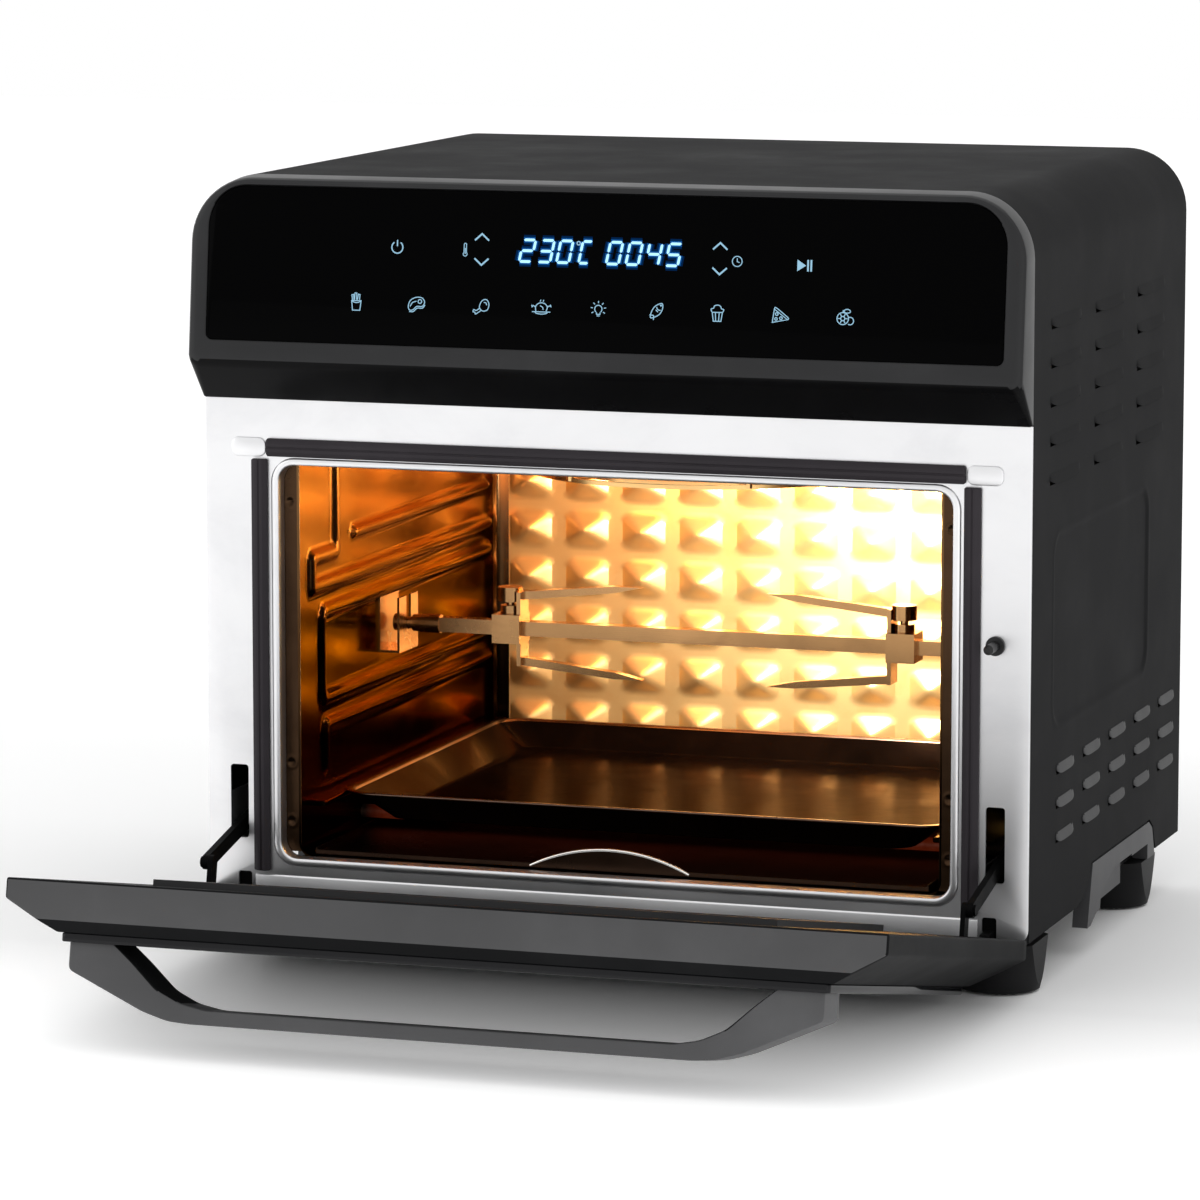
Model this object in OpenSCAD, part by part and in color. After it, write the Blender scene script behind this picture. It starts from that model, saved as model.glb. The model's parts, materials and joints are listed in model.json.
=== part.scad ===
// Counter-top rotisserie oven with a drop-down door, in millimetres.
// Frame: origin at the centre of the footprint on the worktop, +X right, +Y to the rear, +Z up.
// The door is drawn open, as far as its stays let it drop.

/* [Body] */
// Width of the housing
body_w = 400; // [390:1:410]
// Depth of the housing, from the steel fascia to its rear edge
body_d = 300; // [296:1:310]
// Height from the worktop to the top of the housing
body_h = 368; // [366:1:372]
// Height of the feet below the housing
foot_h = 27; // [25:1:28]
// Outer radius of the housing's two top corners
corner_r = 30; // [26:1:32]
// Thickness of the housing sheet
sheet = 1.2; // [1:0.1:1.4]

/* [Cavity] */
// Inner width of the oven cavity
cavity_w = 312; // [310:1:313]
// Inner width of the door opening in the fascia
window_w = 326; // [325:1:327]
// Height of the opening's lower edge above the worktop
window_z0 = 45.5; // [45:0.5:46]
// Height of the opening's upper edge above the worktop
window_z1 = 232; // [230:1:233]
// Distance from the rear edge of the housing to the cavity's back wall
back_gap = 15; // [14:1:17]

/* [Door] */
// Length of the door above its hinge
door_l = 233; // [231:1:233]
// Thickness of the door without its outer plate
door_t = 22.5; // [22:0.5:23]
// Angle between the closed door and the open door
door_angle = 78.5; // [76:0.5:79]
// Distance of the handle's outer face from the door's inner face
handle_reach = 58.7; // [56:0.1:60]

/* [Spit] */
// Height of the spit above the worktop
spit_z = 141; // [139:1:143]
// Side of the square spit rod
spit_side = 7; // [6:0.5:7]

/* [Hidden] */
$fn = 48;
eps = 0.01;

hw = body_w / 2;
hd = body_d / 2;
front_y = -hd;                    // outer plane of the fascia
wall = 1;                         // thickness of the cavity's sheets
cav_hw = cavity_w / 2;
cav_y0 = front_y + 7;
cav_y1 = hd - back_gap;
cav_z0 = window_z0 - 0.5;         // top of the cavity floor
cav_z1 = window_z1 + 14;          // underside of the cavity roof
head_z = 263;                     // lower edge of the control head
fascia_t = 1.2;
fascia_hw = hw - 0.2;
flange_x = hw - sheet - 0.8;       // folded sides of the fascia, inside the housing
win_hw = window_w / 2;

// control head
chin_out = 1.8;                   // the chin's lower edge stands this far off the fascia
nose_y = front_y - 22;            // most forward edge of the head
nose_z = head_z + 20;
head_top_y = front_y - 13.4;      // front face at the top of the head
face_h = body_h - nose_z;
face_tilt = atan((head_top_y - nose_y) / face_h);
bezel_wall = 3;
glass_hw = 190.8;
glass_z0 = 9.3;                   // measured up the tilted face from its lower edge
glass_z1 = 80.8;
glass_t = 3;

// door: s runs up the closed door from the hinge, t runs outwards from its inner face
door_gap = 3.5;                   // closed door's inner face to the fascia
hinge_y = front_y - door_gap - 3;
hinge_z = foot_h;
hinge_r = 2;
door_hw = hw;
door_side_t = 9;                  // straight part of the door's side edges
door_face_hw = 176;               // half width of the outer face, inside the chamfers
door_foot = 4;                    // length of the door below the hinge
door_skin = 2.5;                  // the frame is hollow behind its outer plate
plate_t = 4;                      // outer glass plate
plate_hw = 174.5;
bracket_x = 181.5;                // hinge brackets, from the centre
slot_x = 184;                     // slots and stays, from the centre
slot_w = 9;
slot_z0 = foot_h + 27;
slot_z1 = foot_h + 62;
notch_hw = 3.4;

// stays
stay_s = 39;                      // pivot of the stay, up the door
stay_t = -12;                     // and in front of the door's inner face
stay_len = 98;
stay_h = 7;
stay_thick = 3;
stay_rise = 12.5;                  // slope of the stay when the door is open
stay_pin_r = 1.5;
running = 0.05;

// switch
switch_x = 183.5;
switch_z = foot_h + 136;
plunger_out = 15;
plunger_r = 2.3;

// spit
spit_y = -25;
spit_x0 = -150;
spit_x1 = 153;
fork_x = 92;
fork_arm = 16;                    // rod axis to the root of each prong
prong_l = 62;
prong_flare = 6;
socket_r = 8;

// convection fan
fan_y = 0;
fan_r = 62;
fan_z = cav_z1 - 12;

// baking tray and crumb tray
tray_y0 = -110;
tray_y1 = 124;
tray_z0 = foot_h + 30;
tray_h = 14;
tray_hw = 151;
tray_slope = 20;                  // the rim stands out this far past the base
rail_z = tray_z0 + tray_h - 1.2;  // underside of the rim, which rests on the runners
crumb_z = window_z0 + 0.6;
crumb_hw = 150;

// vents
louvre_hood = 1.4;

COAT = "#2b2c2e";
PLASTIC = "#26272a";
STEEL = "#d9dadc";
ZINC = "#aeb1b4";
GOLD = "#b98a4a";
DARK = "#141416";

module slab_xz(x0, x1, y0, y1, z0, z1) {
    translate([x0, y0, z0]) cube([x1 - x0, y1 - y0, z1 - z0]);
}

// Box centred on X with the two top edges rounded, running from y0 to y1
module arch(half_w, y0, y1, z0, z1, r) {
    translate([0, y1, 0]) rotate([90, 0, 0]) linear_extrude(y1 - y0) union() {
        translate([-half_w, z0]) square([2 * half_w, z1 - z0 - r]);
        translate([-half_w + r, z0]) square([2 * (half_w - r), z1 - z0]);
        for (s = [-1, 1]) translate([s * (half_w - r), z1 - r]) circle(r);
    }
}

// Rounded rectangle, drawn from its lower left corner
module round_rect(w, h, r) {
    union() {
        translate([r, 0]) square([w - 2 * r, h]);
        translate([0, r]) square([w, h - 2 * r]);
        for (x = [r, w - r], y = [r, h - r]) translate([x, y]) circle(r);
    }
}

// Upright rounded plate facing -Y, from y0 to y1
module upright(x0, x1, z0, z1, r, y0, y1) {
    translate([x0, y1, z0]) rotate([90, 0, 0]) linear_extrude(y1 - y0) round_rect(x1 - x0, z1 - z0, r);
}

module rod_x(x0, x1, y, z, r) {
    translate([x0, y, z]) rotate([0, 90, 0]) cylinder(h = x1 - x0, r = r);
}

module rod_y(y0, y1, x, z, r) {
    translate([x, y1, z]) rotate([90, 0, 0]) cylinder(h = y1 - y0, r = r);
}

// Places a child drawn with z up the tilted front face, y into it and its origin on the lower edge
module on_face() {
    translate([0, nose_y, nose_z]) rotate([-face_tilt, 0, 0]) children();
}

// Places a child drawn on the closed door, with the hinge axis at its origin, on the open door
module on_door() {
    translate([0, hinge_y, hinge_z]) rotate([door_angle, 0, 0]) children();
}

// A box on the door: x0..x1, s0..s1 up the door and t0..t1 outwards from the inner face
module door_box(x0, x1, s0, s1, t0, t1) {
    translate([x0, 3 - t1, s0]) cube([x1 - x0, t1 - t0, s1 - s0]);
}

// ---------------------------------------------------------------- housing

module louvre_cuts(len, y, z) {
    for (s = [-1, 1]) translate([s * (hw - sheet / 2), y, z]) cube([2 * sheet + 1, len, 2.4], center = true);
}

module louvre_hoods(len, y, z) {
    for (s = [-1, 1]) mirror([s < 0 ? 1 : 0, 0, 0])
        translate([hw, y + len / 2, z]) rotate([90, 0, 0]) linear_extrude(len)
            polygon([[-0.2, 1.2], [louvre_hood, 1.2], [louvre_hood * 0.8, 2.4], [-0.2, 4.4]]);
}

module each_louvre() {
    for (c = [0:2], r = [0:4]) {
        $vent_len = 54;
        translate([0, -92 + 84 * c, 305 - 17.8 * r]) children();
    }
    for (c = [0:4], r = [0:2]) {
        $vent_len = 31;
        translate([0, -86 + 51 * c, 98 - 16 * r]) children();
    }
}

module grip_notch() {
    for (s = [0, 1]) mirror([s, 0, 0])
        translate([hw + 3, 0, 0]) rotate([0, -90, 0]) linear_extrude(9 + sheet)
            polygon([[foot_h - 1, -66], [foot_h + 2, -47], [foot_h + 8, -38], [foot_h + 16.5, -31],
                [foot_h + 16.5, 88], [foot_h + 12, 95], [foot_h - 1, 101]]);
}

module housing() color(COAT) {
    difference() {
        arch(hw, front_y, hd, foot_h, body_h, corner_r);
        arch(hw - sheet, front_y - 1, hd + 1, foot_h - 1, body_h - sheet, corner_r - sheet);
        // the fascia covers the front edge
        slab_xz(-hw - 1, hw + 1, front_y - 1, front_y + fascia_t + 0.1, foot_h - 1, head_z);
        each_louvre() louvre_cuts($vent_len, 0, 0);
        grip_notch();
    }
    each_louvre() louvre_hoods($vent_len, 0, 0);
}

module rear_cover() color(COAT) difference() {
    union() {
        arch(hw - sheet - 0.1, hd - 3.2, hd - 2, foot_h + 3.2, body_h - sheet - 0.1, corner_r - sheet);
        slab_xz(-hw + sheet + 0.1, hw - sheet - 0.1, hd - 12, hd - 2, foot_h + 2, foot_h + 3.2);
    }
    for (c = [0:8], r = [0:1]) slab_xz(-118 + 27 * c, -98 + 27 * c, hd - 4, hd, 300 - 14 * r, 304 - 14 * r);
    for (c = [0:8], r = [0:2]) slab_xz(-118 + 27 * c, -98 + 27 * c, hd - 4, hd, 110 - 14 * r, 114 - 14 * r);
    rod_y(hd - 4, hd, -150, 78, 9);
    screw_sites() rod_y(-6, 1, 0, 0, 1.6);
}

module screw_sites() {
    for (x = [-180, 0, 180], z = [45, 350]) if (x != 0 || z > 100) translate([x, hd - 2, z]) children();
}

module base_plate() color(DARK) difference() {
    slab_xz(-hw + 4, hw - 4, front_y + 3, hd - 3, foot_h - 3, foot_h);
    slab_xz(-hw + 5.2, hw - 5.2, front_y + 4.2, hd - 4.2, foot_h - 1.8, foot_h + 1);
    for (c = [0:6], r = [0:3]) slab_xz(-90 + 28 * c, -70 + 28 * c, -40 + 26 * r, -36 + 26 * r, 20, 30);
    for (p = foot_sites) translate([p[0], p[1], foot_h - 4]) cylinder(h = 6, r = 1.9);
    for (s = [-1, 1]) slab_xz(s * 196 - 5, s * 196 + 5, -64, 99, 20, 30);
}

foot_sites = [[-180, -124], [180, -124], [-180, 90], [180, 90]];

module front_fascia() color(STEEL) difference() {
    union() {
        upright(-fascia_hw, fascia_hw, foot_h, head_z + 8, 4, front_y, front_y + fascia_t);
        for (s = [-1, 1]) slab_xz(s * flange_x - 0.6, s * flange_x + 0.6,
            front_y + 0.6, front_y + 12, foot_h + 8, head_z);
        upright(-win_hw - 4, win_hw + 4, window_z0 - 4, window_z1 + 3, 11, front_y - 1.2, front_y + 0.6);
        upright(-win_hw - 1, win_hw + 1, window_z0 - 1, window_z1 + 1, 9, front_y, cav_y0);
        for (s = [-1, 1]) upright(s * 178 - 8, s * 178 + 8, window_z1 + 3.5, window_z1 + 12.5, 3,
            front_y - 1, front_y + 0.6);
        slab_xz(-bracket_x + notch_hw + 2, bracket_x - notch_hw - 2, front_y - 0.6, front_y + 0.6,
            foot_h, foot_h + 10);
    }
    for (s = [-1, 1]) slab_xz(s * hw - 1.4, s * hw + 1.4, front_y - 1, front_y + 2, head_z, head_z + 9);
    upright(-win_hw, win_hw, window_z0, window_z1, 8, front_y - 4, cav_y0 + 1);
    for (s = [-1, 1]) upright(s * slot_x - slot_w / 2, s * slot_x + slot_w / 2, slot_z0, slot_z1, 1.5,
        front_y - 2, front_y + 3);
    rod_y(front_y - 2, front_y + 3, switch_x, switch_z, plunger_r + 0.6);
    for (s = [-1, 1]) slab_xz(s * bracket_x - notch_hw, s * bracket_x + notch_hw,
        front_y - 2, front_y + 3, foot_h - 1, foot_h + 11);
}

// ---------------------------------------------------------------- control head

module head_profile(inset) {
    translate([-hw - 1, 0, 0]) rotate([90, 0, 90]) linear_extrude(body_w + 2)
        polygon([[front_y + (inset > 0 ? 1 : 0), head_z + inset],
            [front_y - chin_out - inset * 0.3, head_z + inset],
            [nose_y + 1.6 + inset * 1.1, nose_z - 3 + inset * 0.5],
            [nose_y + inset, nose_z + inset * 0.4],
            [head_top_y + inset, body_h - 1.4 - inset],
            [head_top_y + 1.4 + inset, body_h - inset],
            [front_y + (inset > 0 ? 1 : 0), body_h - inset]]);
}

module head_form(inset) {
    intersection() {
        head_profile(inset);
        arch(hw - inset, nose_y - 5, front_y + 1, head_z - 1, body_h - inset, corner_r - inset);
    }
}

// Outline of the control glass on the tilted face: large radius at the top corners
module glass_outline(grow) {
    w = glass_hw + grow;
    z0 = glass_z0 - grow;
    z1 = glass_z1 + grow;
    top_r = 19 + grow;
    low_r = max(3 + grow, 1.5);
    union() {
        translate([-w + top_r, z0]) square([2 * (w - top_r), z1 - z0]);
        translate([-w, z0 + low_r]) square([2 * w, z1 - z0 - low_r - top_r]);
        for (s = [-1, 1]) {
            translate([s * (w - top_r), z1 - top_r]) circle(top_r);
            translate([s * (w - low_r), z0 + low_r]) circle(low_r);
            translate([s * (w - 1.5 * low_r - (top_r - low_r) / 2) - (top_r + low_r) / 2, z0])
                square([top_r, z1 - z0 - top_r]);
        }
    }
}

module glass_body(grow, y0, y1) {
    on_face() translate([0, y1, 0]) rotate([90, 0, 0]) linear_extrude(y1 - y0) glass_outline(grow);
}

module control_bezel() color(PLASTIC) difference() {
    head_form(0);
    head_form(bezel_wall);
    glass_body(0.2, -3, glass_t + 0.6);
    glass_body(-4, -3, 12);
}

module control_glass() color("black") glass_body(0, 0.6, 0.6 + glass_t);

module display_board() color("#1d3a2a") {
    on_face() translate([-150, 5.2, 14]) cube([300, 1.6, 60]);
    on_face() translate([-42, 3.9, 42]) cube([86, 1.3, 22]);
    on_face() translate([-60, 6.8, 24]) cube([120, 4, 26]);
}

module power_board() color("#2d4a34") {
    slab_xz(-150, -40, -110, -20, head_z + 13, head_z + 15);
    slab_xz(-140, -110, -100, -70, head_z + 15, head_z + 40);
    slab_xz(-100, -84, -100, -72, head_z + 15, head_z + 31);
    slab_xz(-78, -62, -100, -72, head_z + 15, head_z + 31);
    translate([-60, -45, head_z + 15]) cylinder(h = 22, r = 6);
    for (x = [-145, -45], y = [-105, -25]) translate([x, y, head_z + 2]) cylinder(h = 11, r = 3);
}

module heat_shield() color(ZINC) difference() {
    union() {
        slab_xz(-hw + 8, hw - 8, front_y + 6, hd - 6, head_z + 1, head_z + 2);
        for (s = [-1, 1]) slab_xz(s * (hw - 7.5) - 0.5, s * (hw - 7.5) + 0.5,
            front_y + 6, hd - 6, head_z + 1, head_z + 14);
    }
    translate([0, fan_y, head_z - 1]) cylinder(h = 5, r = 9);
    for (c = [0:5]) slab_xz(60 + 18 * c, 70 + 18 * c, 80, 120, head_z, head_z + 4);
}

// ---------------------------------------------------------------- cavity

// Raised bead along Y on a side wall, with round ends; x is the wall's inner face
module bead(y0, y1, z, r, lift) {
    translate([cav_hw - lift, 0, 0]) rotate([0, 90, 0]) linear_extrude(lift + wall / 2) union() {
        translate([-z - r, y0]) square([2 * r, y1 - y0]);
        translate([-z, y0]) circle(r);
        translate([-z, y1]) circle(r);
    }
}

module upright_bead(y, z0, z1, r, lift) {
    translate([cav_hw - lift, 0, 0]) rotate([0, 90, 0]) linear_extrude(lift + wall / 2) union() {
        translate([-z1, y - r]) square([z1 - z0, 2 * r]);
        translate([-z0, y]) circle(r);
        translate([-z1, y]) circle(r);
    }
}

module side_wall() {
    slab_xz(cav_hw, cav_hw + wall, cav_y0, cav_y1, cav_z0, cav_z1 + wall);
    bead(-72, 118, 191, 2.5, 2);
    bead(-125, 122, 171, 3, 2.6);
    upright_bead(-128, 171, 185, 3, 2.6);
    upright_bead(-94, 192, 224, 3, 2.6);
    bead(-112, 122, 158, 3, 2.6);
    bead(-112, 122, 116, 3, 2.6);
    upright_bead(-115, 119, 155, 3, 2.6);
    bead(-108, 122, 103, 3, 2.6);
    upright_bead(-111, 84, 100, 3, 2.6);
    slab_xz(cav_hw - 7, cav_hw, cav_y0 + 14, cav_y1 - 4, rail_z - 2.6, rail_z - 0.1);
    slab_xz(cav_hw, win_hw + 0.9, cav_y0, cav_y0 + wall, cav_z0, cav_z1 + wall);
}

module cavity_side_left() color(GOLD) difference() {
    mirror([1, 0, 0]) side_wall();
    for (y = [-60, 52]) rod_x(-cav_hw - 2, -cav_hw + 1, y, element_z, 3.3);
}

module cavity_side_right() color(GOLD) difference() {
    side_wall();
    for (y = [-60, 52]) rod_x(cav_hw - 1, cav_hw + 2, y, element_z, 3.3);
    rod_x(cav_hw - 4, cav_hw + 2, spit_y, spit_z, socket_r + 0.4);
    rod_x(cav_hw - 4, cav_hw + 2, lamp_y, lamp_z, 16);
    rod_x(cav_hw - 4, cav_hw, lamp_y, lamp_z, lens_r + 0.3);
    rod_x(cav_hw - 4, cav_hw + 2, 100, 214, 2.1);
}

pyramid_x = 30.4;
pyramid_z = 24.5;
pyramid_h = 7;

// Ridges with a triangular section, n of them, running along Z
module ridge_row(n, pitch, run) {
    linear_extrude(run) for (i = [0:n - 1])
        polygon([[i * pitch + 4, 0], [(i + 1) * pitch - 4, 0], [(i + 0.5) * pitch, -pyramid_h]]);
}

module cavity_back() color(GOLD) {
    slab_xz(-cav_hw - wall, cav_hw + wall, cav_y1, cav_y1 + wall, cav_z0, cav_z1 + wall);
    intersection() {
        translate([-5 * pyramid_x, cav_y1 + eps, 58]) ridge_row(10, pyramid_x, 7 * pyramid_z);
        translate([-5 * pyramid_x, cav_y1 + eps, 58 + 7 * pyramid_z]) rotate([0, 90, 0])
            ridge_row(7, pyramid_z, 10 * pyramid_x);
    }
}

module cavity_top() color(GOLD) difference() {
    slab_xz(-cav_hw, cav_hw, cav_y0, cav_y1, cav_z1, cav_z1 + wall);
    translate([0, fan_y, cav_z1 - 1]) cylinder(h = 4, r = 5);
    for (a = upper_legs) translate([upper_r * cos(a), fan_y + upper_r * sin(a), cav_z1 - 1])
        cylinder(h = 4, r = element_r - 0.3);
}

module cavity_floor() color(DARK) {
    slab_xz(-cav_hw - wall, cav_hw + wall, cav_y0, cav_y1 + wall, cav_z0 - wall, cav_z0);
}

module seal_top() color(DARK) {
    slab_xz(-169, 169, front_y - 3, front_y - 1.25, window_z1 + 4, window_z1 + 12.4);
    slab_xz(-169, 169, front_y - 1.25, front_y, window_z1 + 5, window_z1 + 11);
}

module seal_side(s) {
    x = s * 172.4;
    slab_xz(x - 3.9, x + 3.9, front_y - 3, front_y - 1, foot_h + 12, window_z1 + 2.6);
    slab_xz(x - 2.4, x + 2.4, front_y - 1, front_y, foot_h + 12, window_z1 + 2.6);
}

module seal_left() color(DARK) seal_side(-1);
module seal_right() color(DARK) seal_side(1);

// ---------------------------------------------------------------- feet and side grips

module foot(p) {
    s = p[0] > 0 ? 1 : -1;
    difference() {
        intersection() {
            translate([p[0], p[1], 1.2]) cylinder(h = foot_h - 4.2, r1 = 18.5, r2 = 24);
            slab_xz(s * 177 - 22, s * 177 + 22, p[1] - 21.5, p[1] + 30, 0, foot_h);
        }
        translate([p[0], p[1], 6]) cylinder(h = foot_h, r = 1.4);
    }
}

module foot_front_left() color(PLASTIC) foot(foot_sites[0]);
module foot_front_right() color(PLASTIC) foot(foot_sites[1]);
module foot_rear_left() color(PLASTIC) foot(foot_sites[2]);
module foot_rear_right() color(PLASTIC) foot(foot_sites[3]);

module foot_pads() color("#1b1b1c") for (p = foot_sites)
    translate([p[0] - sign(p[0]) * 3, p[1], 0]) cylinder(h = 1.2, r = 11);

grip_t = 7.5;

// Moulded finger grip that fills the notch in the lower edge of the side, open above the rear foot
module side_grip() {
    difference() {
        translate([hw, 0, 0]) rotate([0, -90, 0]) linear_extrude(grip_t)
            polygon([[foot_h - 14, -38], [foot_h + 15.5, -28.5], [foot_h + 15.5, 86.5],
                [foot_h + 11.5, 93.5], [foot_h - 2.6, 99], [foot_h - 2.6, 84], [foot_h + 5, 84],
                [foot_h + 5, 50], [foot_h - 8.5, 50], [foot_h - 9.5, -20], [foot_h - 14, -32]]);
        translate([hw + 1, 0, 0]) rotate([0, -90, 0]) linear_extrude(grip_t - 1)
            polygon([[foot_h - 12, -14], [foot_h - 4, -12], [foot_h + 6, 14], [foot_h + 6, 51],
                [foot_h - 12, 51]]);
    }
}

module side_grip_right() color("#3a3b3e") side_grip();
module side_grip_left() color("#3a3b3e") mirror([1, 0, 0]) side_grip();

// ---------------------------------------------------------------- hinge, stays, switch

module hinge_bracket(s) {
    translate([s * bracket_x, 0, 0]) difference() {
        union() {
            rod_x(-2.2, 2.2, hinge_y, hinge_z, 4.8);
            slab_xz(-2.2, 2.2, hinge_y, front_y + 3, hinge_z - 2.8, hinge_z + 4.8);
            slab_xz(-6.8, 6.8, front_y + 1.5, front_y + 3, hinge_z - 2.8, hinge_z + 20);
        }
        rod_x(-8, 8, hinge_y, hinge_z, hinge_r + running);
    }
}

module hinge_bracket_left() color(DARK) hinge_bracket(-1);
module hinge_bracket_right() color(DARK) hinge_bracket(1);

module stay_guide(s) {
    translate([s * slot_x, 0, 0]) mirror([s < 0 ? 1 : 0, 0, 0]) {
        slab_xz(5.5, 7, front_y + 1.2, -105, foot_h + 23, foot_h + 48);
        rod_x(-2, 5.5, -120, foot_h + 30, 2.5);
    }
}

module stay_guide_left() color(ZINC) stay_guide(-1);
module stay_guide_right() color(ZINC) stay_guide(1);

module door_switch() color(DARK) difference() {
    union() {
        slab_xz(switch_x - 9, switch_x + 9, front_y + fascia_t, front_y + 24, switch_z - 10, switch_z + 10);
        rod_y(front_y - 2, front_y - eps, switch_x, switch_z, 4.4);
        rod_y(front_y - 1, front_y + 2, switch_x, switch_z, plunger_r + 0.6);
    }
    rod_y(front_y - 5, front_y + 22, switch_x, switch_z, plunger_r + running);
}

module switch_plunger() color("#1a1a1b") {
    rod_y(front_y - plunger_out + 1.5, front_y + 8, switch_x, switch_z, plunger_r);
    translate([switch_x, front_y - plunger_out + 1.5, switch_z]) rotate([90, 0, 0])
        cylinder(h = 1.5, r1 = plunger_r, r2 = 1.2);
}

module cord_gland() color(DARK) difference() {
    union() {
        rod_y(hd - 2, hd, -150, 78, 12);
        rod_y(hd - 12, hd - 2, -150, 78, 8.8);
    }
    rod_y(hd - 20, hd + 1, -150, 78, 3.6);
}

// ---------------------------------------------------------------- drives, heaters, lamp

module rotisserie_motor() color(ZINC) {
    rod_x(cav_hw + 7, cav_hw + 25, spit_y, spit_z - 8, 25);
    rod_x(cav_hw + 3.2, cav_hw + 7, spit_y, spit_z, 7);
    for (s = [-1, 1]) slab_xz(cav_hw + wall, cav_hw + 8, spit_y + s * 28 - 6, spit_y + s * 28 + 6,
        spit_z - 14, spit_z - 2);
}

clip_h = 13.5;

// Two-plate clip on the left wall with an open notch for the spit's turned tip
module spit_bracket() color("#c9a15f") difference() {
    union() {
        slab_xz(-cav_hw, -cav_hw + 1.2, spit_y - 13, spit_y + 13, spit_z - clip_h, spit_z + clip_h);
        slab_xz(-cav_hw, -cav_hw + 11.2, spit_y - 13, spit_y + 13, spit_z - clip_h, spit_z - clip_h + 1.2);
        slab_xz(-cav_hw + 10, -cav_hw + 11.2, spit_y - 13, spit_y + 13, spit_z - clip_h, spit_z + clip_h);
    }
    rod_x(-cav_hw + 3, -cav_hw + 13, spit_y, spit_z, 3.3);
    slab_xz(-cav_hw + 3, -cav_hw + 13, spit_y - 3.3, spit_y + 3.3, spit_z, spit_z + 18);
}

element_r = 3.2;
element_z = crumb_z + 7;

// Heater ring round the fan, its two ends turned up through the roof
upper_r = 74;
upper_z = cav_z1 - 14;
upper_legs = [60, 120];

module upper_element() color("#6b6e72") {
    translate([0, fan_y, upper_z]) rotate_extrude(angle = 300, start = 120)
        translate([upper_r, 0]) circle(element_r);
    for (a = upper_legs) translate([upper_r * cos(a), fan_y + upper_r * sin(a), upper_z])
        cylinder(h = 22, r = element_r - 0.4);
}

module element_guard() color(STEEL) {
    for (r = [24, 48, 72, 88]) translate([0, fan_y, cav_z1 - 26]) difference() {
        cylinder(h = 2, r = r + 1);
        translate([0, 0, -1]) cylinder(h = 4, r = r - 1);
    }
    for (a = [0:60:120]) translate([0, fan_y, cav_z1 - 25.6]) rotate([0, 0, a]) translate([-88, -1, 0])
        cube([176, 2, 1.2]);
    for (a = [0:60:300]) translate([88 * cos(a), fan_y + 88 * sin(a), cav_z1 - 25.6])
        cylinder(h = 25.6, r = 1.8);
}

module lower_elements() color("#7a3a30") for (y = [-60, 52]) {
    rod_x(-cav_hw - 14, cav_hw + 14, y, element_z, element_r);
    for (s = [-1, 1]) rod_x(s * (cav_hw + 10) - 5, s * (cav_hw + 10) + 5, y, element_z, 4.5);
}

module fan_motor() color(ZINC) difference() {
    union() {
        translate([0, fan_y, head_z + 8]) cylinder(h = 34, r = 27);
        for (a = [30:120:270]) translate([33 * cos(a), fan_y + 33 * sin(a), head_z + 2])
            cylinder(h = 8, r = 4);
        for (a = [30:120:270]) rotate([0, 0, a]) translate([20, -4, head_z + 8]) cube([13, 8, 2]);
    }
    translate([0, fan_y, head_z]) cylinder(h = 60, r = 3.05);
}

module convection_fan() color(STEEL) {
    translate([0, fan_y, fan_z - 6]) cylinder(h = head_z + 54 - fan_z, r = 3);
    translate([0, fan_y, fan_z + 5]) cylinder(h = 1.2, r = fan_r);
    translate([0, fan_y, fan_z - 4]) cylinder(h = 10, r = 8);
    for (a = [0:45:315]) translate([0, fan_y, 0]) rotate([0, 0, a])
        translate([20, -0.6, fan_z - 6]) cube([fan_r - 20, 1.2, 11.5]);
    translate([0, fan_y, head_z + 46]) cylinder(h = 1.2, r = 38);
    for (a = [0:60:300]) translate([0, fan_y, 0]) rotate([0, 0, a])
        translate([10, -0.6, head_z + 47]) cube([28, 1.2, 9]);
}

lamp_y = 62;
lamp_z = 196;
lens_r = 19;

module lamp_holder() color("#e4e0d6") difference() {
    rod_x(cav_hw + wall, cav_hw + 30, lamp_y, lamp_z, 21);
    rod_x(cav_hw, cav_hw + 27, lamp_y, lamp_z, 15.8);
    rod_x(cav_hw, cav_hw + 31, lamp_y, lamp_z, 5);
}

module lamp_bulb() color("#ffd9a0") translate([cav_hw, lamp_y, lamp_z]) rotate([0, 90, 0]) {
    translate([0, 0, 3]) cylinder(h = 2, r1 = 4, r2 = 7);
    translate([0, 0, 5]) cylinder(h = 6, r = 7);
    translate([0, 0, 11]) cylinder(h = 3, r1 = 7, r2 = 4.9);
    translate([0, 0, 14]) cylinder(h = 15, r = 4.9);
}

module lamp_lens() color("#f2e6c8") union() {
    rod_x(cav_hw - 3, cav_hw, lamp_y, lamp_z, lens_r);
    rod_x(cav_hw - eps, cav_hw + 2, lamp_y, lamp_z, 15.6);
}

module temperature_probe() color(STEEL) {
    rod_x(cav_hw - 26, cav_hw + 6, 100, 214, 2);
    rod_x(cav_hw + wall, cav_hw + 6, 100, 214, 5);
}

module thermal_cutout() color(ZINC) {
    translate([70, -60, cav_z1 + wall]) cylinder(h = 9, r = 8);
    slab_xz(58, 82, -64, -56, cav_z1 + wall + 9, cav_z1 + wall + 10.5);
}

module housing_screws() color(ZINC) {
    screw_sites() {
        rod_y(-6, 0, 0, 0, 1.5);
        rod_y(0, 1.8, 0, 0, 3.2);
    }
    for (p = foot_sites) translate([p[0], p[1], 6.2]) {
        cylinder(h = foot_h - 6, r = 1.3);
        translate([0, 0, foot_h - 8]) cylinder(h = 2.4, r = 3);
    }
}

// ---------------------------------------------------------------- door

// Section of the door across its width: straight sides, chamfers, flat outer face
module door_section() {
    polygon([[-door_hw, 0], [-door_hw, -door_side_t], [-door_face_hw, -door_t],
        [door_face_hw, -door_t], [door_hw, -door_side_t], [door_hw, 0]]);
}

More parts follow.
